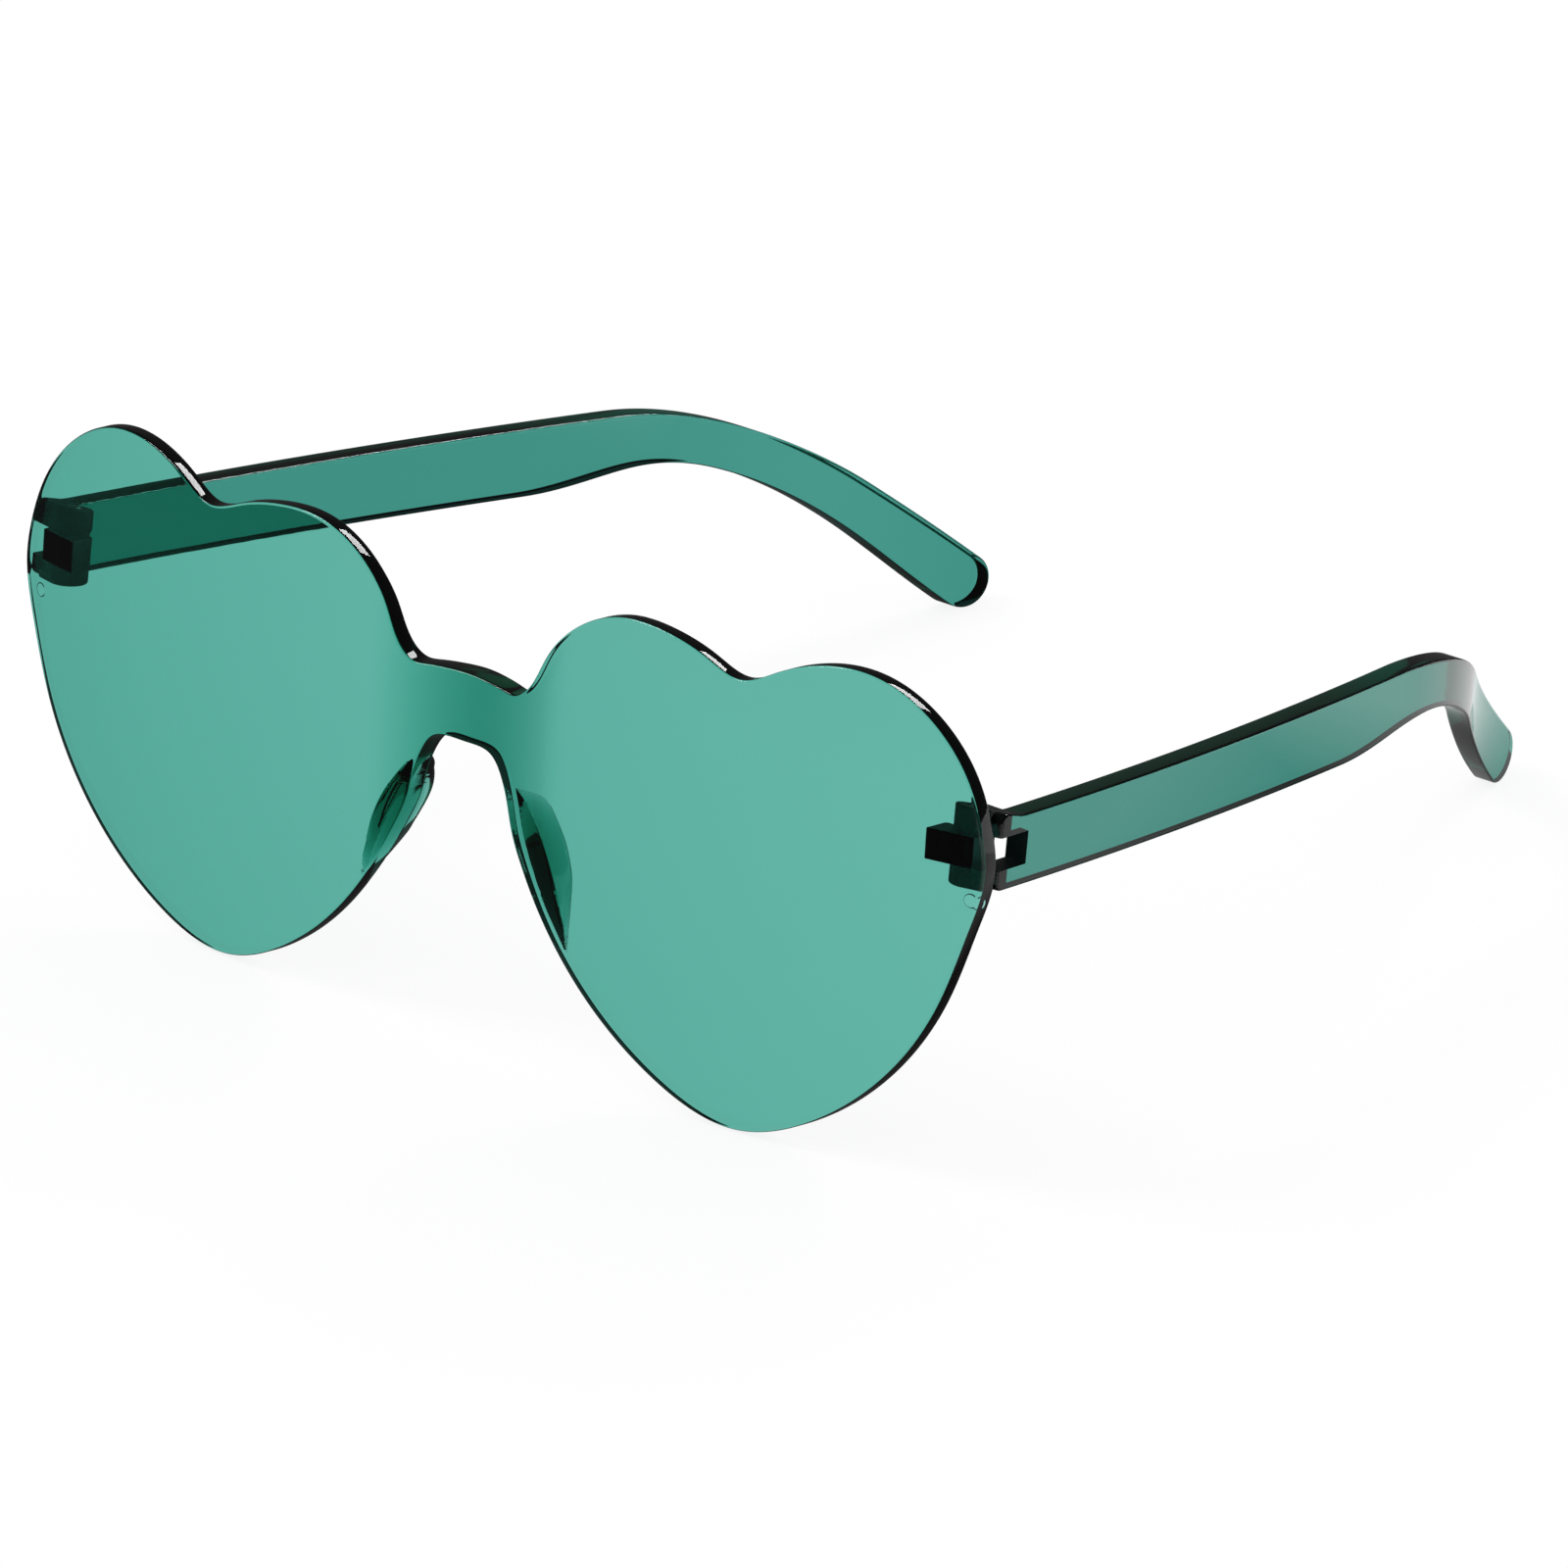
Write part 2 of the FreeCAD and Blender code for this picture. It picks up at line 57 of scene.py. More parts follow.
SHARP_ANGLE = math.radians(32)
CURVE_STEPS = 200
INSIDE_ONLY = 1
SAME_PLACE = 1e-7
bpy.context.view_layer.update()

Array = np.ndarray
Level = Callable[[Array], Array]
Colour = tuple[float, float, float]
Pairs = tuple[tuple[float, float], ...]


class Side(Enum):
    """A side of the face as seen in the photograph, with the sign of its X."""

    RIGHT = 1
    LEFT = -1

    @property
    def word(self) -> str:
        """Name of the side in plain words."""
        return self.name.lower()


class Join(Enum):
    """Ways of joining two closed shapes."""

    UNION = "UNION"
    CUT = "DIFFERENCE"


# Curves in the plane


def closed_curve(points: Array, count: int) -> Array:
    """Smooth closed curve through points, sampled at even steps of arc length.

    Each coordinate is a periodic cubic over the chord lengths, whose second derivatives m solve
    h0*m0 + 2*(h0 + h1)*m1 + h1*m2 = 6*(slope1 - slope0) at every point.

    Args:
        points: Corner points in order, one row each.
        count: Number of samples.

    Returns:
        The samples, one row each.
    """
    ahead = np.roll(points, -1, axis=0)
    step = np.linalg.norm(ahead - points, axis=1)
    before = np.roll(step, 1)
    slope = (ahead - points) / step[:, None]
    system = np.diag(2 * (before + step))
    system += np.roll(np.diag(step), 1, axis=1) + np.roll(np.diag(before), -1, axis=1)
    bend = np.linalg.solve(system, 6 * (slope - np.roll(slope, 1, axis=0)))
    bend_ahead = np.roll(bend, -1, axis=0)
    share = np.linspace(0, 1, CURVE_STEPS, endpoint=False)[None, :, None]
    h = step[:, None, None]
    fine = (
        points[:, None] * (1 - share)
        + ahead[:, None] * share
        + h**2 / 6 * bend[:, None] * ((1 - share) ** 3 - (1 - share))
        + h**2 / 6 * bend_ahead[:, None] * (share**3 - share)
    ).reshape(-1, 2)
    return even_loop(fine, count)


def even_loop(points: Array, count: int) -> Array:
    """Resample a closed polygon at even steps of arc length.

    Args:
        points: Corners of the polygon in order.
        count: Number of samples.

    Returns:
        The samples, one row each.
    """
    ring = np.vstack([points, points[:1]])
    run = np.concatenate([[0], np.cumsum(np.linalg.norm(np.diff(ring, axis=0), axis=1))])
    where = np.linspace(0, run[-1], count, endpoint=False)
    return np.column_stack([np.interp(where, run, ring[:, axis]) for axis in (0, 1)])


def arc_points(centre: Sequence[float], radius: float, start: float, end: float, count: int) -> Array:
    """Points of a circular arc: centre + radius * (cos a, sin a) for even steps of a, in radians."""
    angle = np.linspace(start, end, count)
    return np.asarray(centre) + radius * np.column_stack([np.cos(angle), np.sin(angle)])


def eased_points(
    start: Array, leaving: Array, end: Array, arriving: Array, count: int, ease: float = 0.4
) -> Array:
    """Cubic curve between two points, with handles of a share of their distance along the end directions.

    Args:
        start: First point.
        leaving: Unit direction at the first point.
        end: Last point.
        arriving: Unit direction at the last point.
        count: Number of points.
        ease: Length of the handles as a share of the distance.

    Returns:
        The points, one row each.
    """
    handle = np.linalg.norm(end - start) * ease
    t = np.linspace(0, 1, count)[:, None]
    first, last = start + leaving * handle, end - arriving * handle
    return (1 - t) ** 3 * start + 3 * t * (1 - t) ** 2 * first + 3 * t**2 * (1 - t) * last + t**3 * end


def through_stations(at: Array, values: Array, fine: Array) -> Array:
    """Smooth values between stations: a cubic with the mean slope of its neighbours at each station.

    Args:
        at: Station numbers.
        values: Values at the stations.
        fine: Where values are wanted.

    Returns:
        The values there.
    """
    slope = np.gradient(values, at)
    i = np.clip(np.floor(fine).astype(int), 0, len(at) - 2)
    t = fine - i
    level = values[i] * (1 + 2 * t) * (1 - t) ** 2 + values[i + 1] * t**2 * (3 - 2 * t)
    return level + slope[i] * t * (1 - t) ** 2 - slope[i + 1] * t**2 * (1 - t)


def soft_least(first: Array, second: Array, blend: float) -> Array:
    """Rounded minimum of a and b: b + (a - b)*h - w*h*(1 - h), h = 1/2 + (b - a)/(2*w) between 0 and 1."""
    share = np.clip(0.5 + 0.5 * (second - first) / blend, 0, 1)
    return second + (first - second) * share - blend * share * (1 - share)


def inward_normals(loop: Array) -> Array:
    """Unit normals at the points of a closed loop, to its inside: the tangents, turned by 90 degrees.

    Args:
        loop: Points in order, either way round.

    Returns:
        One normal for each point.
    """
    tangent = np.roll(loop, -1, axis=0) - np.roll(loop, 1, axis=0)
    tangent /= np.linalg.norm(tangent, axis=1, keepdims=True)
    return np.sign(signed_area(loop)) * np.column_stack([-tangent[:, 1], tangent[:, 0]])


def signed_area(loop: Array) -> float:
    """Area of a closed polygon, positive if it runs anticlockwise."""
    x, y = loop.T
    return float(np.sum(x * np.roll(y, -1) - np.roll(x, -1) * y)) / 2


def inside(points: Array, loop: Array, margin: float) -> Array:
    """Which points lie inside a loop by more than a margin.

    Args:
        points: Points to test.
        loop: Closed polygon.
        margin: Least distance from the polygon's corners.

    Returns:
        One truth value for each point.
    """
    a, b = loop, np.roll(loop, -1, axis=0)
    px, py = points[:, :1], points[:, 1:]
    spans = (a[:, 1] > py) != (b[:, 1] > py)
    with np.errstate(divide="ignore", invalid="ignore"):
        cross = a[:, 0] + (py - a[:, 1]) / (b[:, 1] - a[:, 1]) * (b[:, 0] - a[:, 0])
    odd = np.sum(spans & (px < cross), axis=1) % 2 == 1
    near = np.min(np.hypot(px - a[:, 0], py - a[:, 1]), axis=1)
    return odd & (near > margin)


def lattice(loop: Array, pitch: float) -> Array:
    """Even triangular lattice over the box of a loop.

    Args:
        loop: Closed polygon.
        pitch: Distance between neighbours.

    Returns:
        The lattice points, one row each.
    """
    low, high = loop.min(axis=0), loop.max(axis=0)
    rows = np.arange(low[1], high[1], pitch * math.sqrt(3) / 2)
    columns = np.arange(low[0], high[0], pitch)
    x, y = np.meshgrid(columns, rows)
    x = x + (np.arange(len(rows)) % 2)[:, None] * pitch / 2
    return np.column_stack([x.ravel(), y.ravel()])


def fill(loop: Array, points: Array) -> list[tuple[int, ...]]:
    """Triangles that fill a loop and use points inside it.

    Args:
        loop: Closed polygon, which keeps its edges.
        points: Points inside the polygon.

    Returns:
        Triangles as numbers into the loop followed by the points.
    """
    flat = [Vector(point) for point in np.vstack([loop, points])]
    result = delaunay_2d_cdt(flat, [], [list(range(len(loop)))], INSIDE_ONLY, SAME_PLACE)
    origin = [ids[0] for ids in result[3]]
    return [tuple(origin[v] for v in face) for face in result[2]]


# Closed shapes in space, in millimetres


@dataclass
class Shape:
    """A closed shape as vertex places in millimetres and faces."""

    points: Array
    faces: list[tuple[int, ...]]

    def outward(self) -> "Shape":
        """The same shape with every face pointing outwards, by the sign of its volume."""
        corners = np.array([(f[0], f[i], f[i + 1]) for f in self.faces for i in range(1, len(f) - 1)])
        a, b, c = (self.points[corners[:, i]] for i in range(3))
        if np.sum(a * np.cross(b, c)) < 0:
            self.faces = [face[::-1] for face in self.faces]
        return self

    def mesh(self, name: str, layer: int = 0) -> bpy.types.Mesh:
        """Mesh of the shape in metres, with all its faces on one of the finishes of its piece."""
        mesh = bpy.data.meshes.new(name)
        mesh.from_pydata(self.points * MM, [], self.faces)
        mesh.polygons.foreach_set("material_index", np.full(len(mesh.polygons), layer, np.int32))
        mesh.update()
        return mesh


@dataclass
class Plate:
    """A plate between two levels over a flat outline, with a round carried along both of its edges."""

    outline: Array
    low: Level
    high: Level
    round: float
    pitch: float
    steps: int
    high_points: Array = field(default_factory=lambda: np.zeros((0, 2)))
    high_relief: Level | None = None
    margin: float = 1.4
    least_inset: float = 0.08
    least_share: float = 0.45

    def shape(self, place: Callable[[Array, Array], Array]) -> Shape:
        """Closed shape of the plate.

        The rim is a profile carried along the outline, with a quarter round (r*(1 - sin a), r*(1 - cos a)) at
        both of its edges, and the two faces are filled with triangles over an even lattice.

        Args:
            place: Turns flat places and levels into places in space.

        Returns:
            The shape, with its faces outwards.
        """
        angle = np.linspace(0, math.pi / 2, self.steps)
        inset = np.concatenate([[self.margin * self.round], self.round * (1 - np.sin(angle))])
        depth = np.concatenate([[0.0], self.round * (1 - np.cos(angle))])
        inset = np.concatenate([inset, inset[::-1]])[:, None, None]
        flat = self.outline + inward_normals(self.outline) * inset
        level = [self.low(ring) + down for ring, down in zip(flat, depth)]
        level += [self.high(ring) - down for ring, down in zip(flat[len(depth) :], depth[::-1])]
        top = self.high_relief or self.high
        level[-1] = top(flat[-1])
        rows, count = flat.shape[:2]
        faces = tube_faces(rows, count)
        points = [place(flat.reshape(-1, 2), np.concatenate(level))]
        total = rows * count
        covers = ((0, self.low, np.zeros((0, 2)), True), (rows - 1, top, self.high_points, False))
        for row, cover, extra, under in covers:
            ring = flat[row]
            spots = lattice(ring, self.pitch)
            spots = spots[inside(spots, ring, self.pitch / 2)]
            if len(extra):
                extra = extra[inside(extra, ring, self.least_inset)]
                apart = np.hypot(spots[:, :1] - extra[:, 0], spots[:, 1:] - extra[:, 1])
                spots = np.vstack([spots[apart.min(axis=1) > self.least_share * self.pitch], extra])
            number = np.concatenate([row * count + np.arange(count), total + np.arange(len(spots))])
            way = -1 if under == (signed_area(ring) > 0) else 1
            faces += [tuple(number[list(face)][::way].tolist()) for face in fill(ring, spots)]
            points.append(place(spots, cover(spots)))
            total += len(spots)
        return Shape(np.vstack(points), faces).outward()


def tube_faces(rows: int, count: int) -> list[tuple[int, ...]]:
    """Quads between closed rings of points that are numbered one ring after the other.

    Args:
        rows: Number of rings.
        count: Points in a ring.

    Returns:
        The quads.
    """
    row, column = np.arange(rows - 1)[:, None] * count, np.arange(count)
    start, ahead = row + column, row + (column + 1) % count
    quads = np.stack([start, ahead, ahead + count, start + count], axis=-1)
    return [tuple(quad) for quad in quads.reshape(-1, 4).tolist()]


def turned(profile: Array, centre: Sequence[float], count: int) -> Shape:
    """Shape turned about an upright axis: (radius*cos a, radius*sin a, height) for even steps of a.

    Args:
        profile: Radius and height of each ring, with both ends on the axis.
        centre: X and Y of the axis.
        count: Number of points round each ring.

    Returns:
        The shape, closed by one point at each end.
    """
    angle = np.linspace(0, 2 * math.pi, count, endpoint=False)
    radius, height = profile[1:-1].T
    ring = np.stack(
        [
            centre[0] + radius[:, None] * np.cos(angle),
            centre[1] + radius[:, None] * np.sin(angle),
            np.repeat(height[:, None], count, axis=1),
        ],
        axis=-1,
    )
    ends = np.array([[*centre, profile[0, 1]], [*centre, profile[-1, 1]]])
    total, around = len(radius) * count, np.arange(count)
    ahead = (around + 1) % count
    cap = np.column_stack([np.full(count, total), ahead, around])
    base = np.column_stack([np.full(count, total + 1), total - count + around, total - count + ahead])
    faces = tube_faces(len(radius), count) + [tuple(face) for face in cap.tolist() + base.tolist()]
    return Shape(np.vstack([ring.reshape(-1, 3), ends]), faces).outward()


def upright(flat: Array, level: Array) -> Array:
    """Place a plan outline: X and Y from the plan, Z from the level."""
    return np.column_stack([flat, level])


def constant(value: float) -> Level:
    """Level that is the same everywhere."""
    return lambda flat: np.full(len(flat), value)


def on_both_sides(right: Array) -> Array:
    """Front view places of the right side, followed by their mirror images."""
    return np.vstack([right, right * (-1, 1)])


def linked(name: str, data: bpy.types.ID) -> bpy.types.Object:
    """New object of a mesh, a lamp or a camera, in the scene."""
    item = bpy.data.objects.new(name, data)
    bpy.context.collection.objects.link(item)
    return item


def joined(base: bpy.types.Mesh, steps: Sequence[tuple[Join, Shape]]) -> bpy.types.Mesh:
    """Join closed shapes to a mesh or cut them from it, one after the other, and put their faces on finish 1.

    Args:
        base: Mesh to start from.
        steps: What to do, and with which shape.

    Returns:
        A new mesh of the result.
    """
    body = linked(base.name, base)
    tools = []
    for number, (kind, shape) in enumerate(steps):
        # The tools' faces go on layer 1, which the front and the temples dress in near-black painted shade.
        tool = linked(f"{base.name}_tool_{number}", shape.mesh("tool", 1))
        tools.append(tool)
        change = body.modifiers.new("join", "BOOLEAN")
        change.operation = kind.value
        change.solver = "EXACT"
        change.object = tool
    view = bpy.context.evaluated_depsgraph_get()
    mesh = bpy.data.meshes.new_from_object(body.evaluated_get(view))
    for item in [body, *tools]:
        bpy.data.objects.remove(item)
    return mesh


# Sizes shared by the pieces, in millimetres, as worn: +Y towards the ears, Z = 0 at mid hinge height


@dataclass(frozen=True)
class Fit:
    """Sizes that the front, the temples and the pins share."""

    half_width: float = 72.5
    lens_radius: float = 186.0
    sheet: float = 2.2
    apex_offset: float = 22.2
    apex_rise: float = 8.0
    pin_inset: float = 4.6
    barrel_radius: float = 2.3
    fork_gap: float = 0.2
    temple_top: float = 4.0
    temple_bottom: float = -4.4
    shoulder_rise: float = 1.1
    shoulder_run: float = 5.0
    head_sink: float = 1.15
    knuckle_height: float = 3.7
    pin_radius: float = 0.7

    @property
    def rear_radius(self) -> float:
        """Radius of the rear face of a lens."""
        return self.lens_radius - self.sheet

    @property
    def pin_x(self) -> float:
        """Distance of a pin from the middle of the face."""
        return self.half_width - self.pin_inset

    @property
    def pin_reach(self) -> float:
        """Distance of a pin from the upright line through the centre of its lens, in plan."""
        foot = math.sqrt(self.rear_radius**2 - (self.temple_bottom - self.apex_rise) ** 2)
        return foot - self.barrel_radius - self.fork_gap

    @property
    def wrap(self) -> float:
        """Turn of the lens at the hinge, in radians."""
        return math.asin((self.pin_x - self.apex_offset) / self.pin_reach)

    @property
    def pin_y(self) -> float:
        """Depth of the pins."""
        return self.lens_radius - self.pin_reach * math.cos(self.wrap)

    @property
    def fork_front(self) -> float:
        """Depth of the front of the hinge barrels."""
        return self.pin_y - self.barrel_radius

    @property
    def lug_top(self) -> float:
        """Height of the upper lug of a fork."""
        return self.temple_top + self.shoulder_rise

    def pin(self, side: Side) -> Array:
        """Place of a pin in plan."""
        return np.array([side.value * self.pin_x, self.pin_y])

    def lens_y(self, radius: float, x: float, z: float) -> float:
        """Depth of a lens sphere of the given radius."""
        across, up = x - self.apex_offset, z - self.apex_rise
        return self.lens_radius - math.sqrt(radius**2 - across**2 - up**2)


@dataclass(frozen=True)
class Stance:
    """How the glasses stand: tipped forwards about X, then shifted."""

    lean: float
    shift: tuple[float, float]

    @classmethod
    def of_frame(cls, fit: Fit) -> "Stance":
        """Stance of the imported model, from the hinge axis and the lower end of the right pin.

        Args:
            fit: Shared sizes.

        Returns:
            The stance.
        """
        axis = frame["joints"][0]["axis"]
        lean = math.atan2(abs(axis[1]), abs(axis[2]))
        low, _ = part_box("right_hinge_pin")
        c, s = math.cos(lean), math.sin(lean)
        y = low[1] / MM - (fit.pin_y - fit.pin_radius) * c - fit.temple_bottom * s
        z = low[2] / MM + (fit.pin_y + fit.pin_radius) * s - fit.temple_bottom * c
        return cls(lean, (y, z))

    def stand(self, mesh: bpy.types.Mesh) -> None:
        """Tip and shift a mesh from the worn to the standing place."""
        turn = Matrix.Rotation(-self.lean, 4, "X")
        mesh.transform(Matrix.Translation((0, self.shift[0] * MM, self.shift[1] * MM)) @ turn)


# Shader maths


class Signal:
    """A socket in a node tree, with operators that add Math nodes."""

    def __init__(self, nodes: "Nodes", socket: bpy.types.NodeSocket) -> None:
        """Wrap an output socket of a tree."""
        self.nodes = nodes
        self.socket = socket

    def _math(self, operation: str, *values: Any) -> "Signal":
        """Math node of the given operation on this and other values."""
        sockets = dict(enumerate(values))
        return self.nodes.add("ShaderNodeMath", {"operation": operation}, sockets)

    def __add__(self, other: Any) -> "Signal":
        """Sum."""
        return self._math("ADD", self, other)

    __radd__ = __add__

    def __sub__(self, other: Any) -> "Signal":
        """Difference."""
        return self._math("SUBTRACT", self, other)

    def __rsub__(self, other: Any) -> "Signal":
        """Difference from a number."""
        return self._math("SUBTRACT", other, self)

    def __mul__(self, other: Any) -> "Signal":
        """Product."""
        return self._math("MULTIPLY", self, other)

    __rmul__ = __mul__

    def __truediv__(self, other: Any) -> "Signal":
        """Quotient."""
        return self._math("DIVIDE", self, other)

    def __rtruediv__(self, other: Any) -> "Signal":
        """Quotient of a number."""
        return self._math("DIVIDE", other, self)

    def at_least(self, other: Any) -> "Signal":
        """The greater of two values."""
        return self._math("MAXIMUM", self, other)

    def share(self) -> "Signal":
        """The value, kept between 0 and 1."""
        return self._math("MINIMUM", self.at_least(0.0), 1.0)


class Nodes:
    """The node tree of a material or world."""

    def __init__(self, owner: bpy.types.Material | bpy.types.World) -> None:
        """Start an empty tree.

        Args:
            owner: Material or world that gets the tree.
        """
        owner.use_nodes = True
        self.tree = owner.node_tree
        self.tree.nodes.clear()

    def add(self, kind: str, settings: dict[str, Any], sockets: dict[Any, Any], output: Any = 0) -> Signal:
        """Add a node, set it up and feed its sockets.

        Args:
            kind: Type of the node.
            settings: Properties of the node, set first.
            sockets: Values or signals by socket name or number.
            output: Name or number of the output that is wanted.

        Returns:
            That output.
        """
        node = self.tree.nodes.new(kind)
        for key, value in settings.items():
            setattr(node, key, value)
        for key, value in sockets.items():
            if isinstance(value, Signal):
                self.tree.links.new(value.socket, node.inputs[key])
            else:
                node.inputs[key].default_value = value
        return Signal(self, node.outputs[output]) if len(node.outputs) else Signal(self, None)

    def ray(self, kind: str) -> Signal:
        """1 for a ray of the named kind, else 0."""
        return self.add("ShaderNodeLightPath", {}, {}, f"Is {kind} Ray")

    def object_place(self) -> Signal:
        """Place on the piece, in metres."""
        return self.add("ShaderNodeTexCoord", {}, {}, "Object")

    def noise(self, place: Signal, scale: float, detail: float = 3.0, roughness: float = 0.5) -> Signal:
        """Cloudy noise between 0 and 1."""
        sockets = {"Vector": place, "Scale": scale, "Detail": detail, "Roughness": roughness}
        return self.add("ShaderNodeTexNoise", {}, sockets)

    def blend(self, share: Signal, first: Colour, second: Colour) -> Signal:
        """Colour between two colours."""
        sockets = {0: share, 6: (*first, 1), 7: (*second, 1)}
        return self.add("ShaderNodeMix", {"data_type": "RGBA"}, sockets, 2)

    def either(self, share: Signal, first: Signal, second: Signal) -> Signal:
        """Shader between two shaders."""
        return self.add("ShaderNodeMixShader", {}, {0: share, 1: first, 2: second})

    def relief(self, height: Signal, strength: float, distance: float) -> Signal:
        """Normal of a bumpy face."""
        sockets = {"Strength": strength, "Distance": distance, "Height": height}
        return self.add("ShaderNodeBump", {}, sockets)

    def plain(self, sockets: dict[str, Any]) -> Signal:
        """Principled shader with the given inputs."""
        return self.add("ShaderNodeBsdfPrincipled", {}, sockets)

    def end(self, surface: Signal, kind: str = "Material", **others: Signal) -> None:
        """Feed the output of the tree."""
        self.add(f"ShaderNodeOutput{kind}", {}, {"Surface": surface, **others})


# Finishes


@dataclass(frozen=True)
class Finish:
    """Base of the finishes: a named material and the nodes that make its look."""

    name: str

    def material(self) -> bpy.types.Material:
        """New material with the nodes of this finish.

        Returns:
            The material.
        """
        material = bpy.data.materials.new(self.name)
        self.dress(Nodes(material))
        return material

    def dress(self, nodes: Nodes) -> None:
        """Fill the empty node tree of the material."""
        raise NotImplementedError


@dataclass(frozen=True)
class TintedPlastic(Finish):
    """Clear injection-moulded plastic, tinted in the mass: thin walls look light and edges almost black."""

    absorbed: Colour
    shadow: Colour = (0.16, 0.52, 0.43)
    flow_tone: Colour = (0.955, 0.99, 0.98)
    clear_tone: Colour = (0.985, 1.0, 0.995)
    flow_scale: float = 160.0
    index: float = 1.5
    polish: float = 0.012
    smear: float = 0.03
    smear_scale: float = 45.0
    smear_contrast: float = 4.0
    smear_grain: float = 0.4
    grain_scale: float = 900.0
    grain_height: float = 0.02
    ripple: float = 0.03
    ripple_depth: float = 0.2 * MM

    def dress(self, nodes: Nodes) -> None:
        """Add absorption in the mass, smears in the polish and faint flow ripples of the mould.

        Args:
            nodes: Empty tree of the material.
        """
        place = nodes.object_place()
        cloud = nodes.noise(place, self.smear_scale, detail=4.0, roughness=0.6)
        grain = nodes.noise(place, self.grain_scale, detail=2.0)
        flow = nodes.noise(place, self.flow_scale, detail=2.0, roughness=0.4)
        smears = ((cloud - 0.5) * self.smear_contrast).share()
        speckle = (1 - self.smear_grain) + self.smear_grain * grain
        clear = nodes.plain(
            {
                "Base Color": nodes.blend(flow, self.flow_tone, self.clear_tone),
                "Roughness": self.polish + self.smear * smears * speckle,
                "IOR": self.index,
                "Transmission Weight": 1.0,
                "Normal": nodes.relief(flow + self.grain_height * grain, self.ripple, self.ripple_depth),
            }
        )
        lamp = nodes.add("ShaderNodeBsdfTransparent", {}, {"Color": (*self.shadow, 1)})
        most = max(self.absorbed)
        tint = tuple(1 - value / most for value in self.absorbed)
        mass = nodes.add("ShaderNodeVolumeAbsorption", {}, {"Color": (*tint, 1), "Density": most})
        nodes.end(nodes.either(nodes.ray("Shadow"), clear, lamp), Volume=mass)


@dataclass(frozen=True)
class EtchedPlastic(Finish):
    """Opaque near-black painted shade on the hinge faces, in place of the dark that the clear plastic shows
    there.
    """

    # Both colours are painted shade: near-black, letting no light through.
    deep: Colour = (0.002, 0.007, 0.0065)
    light: Colour = (0.007, 0.018, 0.017)
    matt: float = 0.32
    worn_matt: float = 0.16
    worn_scale: float = 420.0
    grain_scale: float = 5200.0
    grain: float = 0.2
    grain_depth: float = 0.03 * MM

    def dress(self, nodes: Nodes) -> None:
        """Add the painted near-black shade, mottled in colour and gloss, and a fine grain in relief.

        Args:
            nodes: Empty tree of the material.
        """
        place = nodes.object_place()
        grain = nodes.noise(place, self.grain_scale, roughness=0.6)
        mottle = nodes.noise(place, self.worn_scale)
        # Painted shade: an opaque near-black face where the clear plastic looks dark.
        face = nodes.plain(
            {
                "Base Color": nodes.blend(mottle, self.deep, self.light),
                "Roughness": self.matt + self.worn_matt * mottle,
                "Normal": nodes.relief(grain, self.grain, self.grain_depth),
            }
        )
        nodes.end(face)


@dataclass(frozen=True)
class TurnedSteel(Finish):
    """Steel with the fine rings of a lathe, a little dulled by handling."""

    centre: tuple[float, float, float]
    lean: float
    light: Colour = (0.62, 0.62, 0.60)
    dark: Colour = (0.38, 0.38, 0.39)
    matt: float = 0.16
    dull_matt: float = 0.14
    dull_scale: float = 1500.0
    ring_matt: float = 0.05
    ring_scale: float = 2600.0
    ring: float = 0.25
    ring_depth: float = 0.02 * MM

    def dress(self, nodes: Nodes) -> None:
        """Add rings about the axis of the pin.

        Args:
            nodes: Empty tree of the material.
        """
        turn = Euler((-self.lean, 0, 0))
        local = nodes.add(
            "ShaderNodeMapping",
            {"vector_type": "TEXTURE"},
            {"Vector": nodes.object_place(), "Location": self.centre, "Rotation": turn},
        )
        rings = nodes.add(
            "ShaderNodeTexWave",
            {"wave_type": "RINGS", "rings_direction": "Z"},
            {"Vector": local, "Scale": self.ring_scale, "Distortion": 0.6, "Detail": 1.0},
            1,
        )
        dull = nodes.noise(local, self.dull_scale)
        steel = nodes.plain(
            {
                "Base Color": nodes.blend(dull, self.dark, self.light),
                "Metallic": 1.0,
                "Roughness": self.matt + self.dull_matt * dull + self.ring_matt * rings,
                "Normal": nodes.relief(rings, self.ring, self.ring_depth),
            }
        )
        nodes.end(steel)


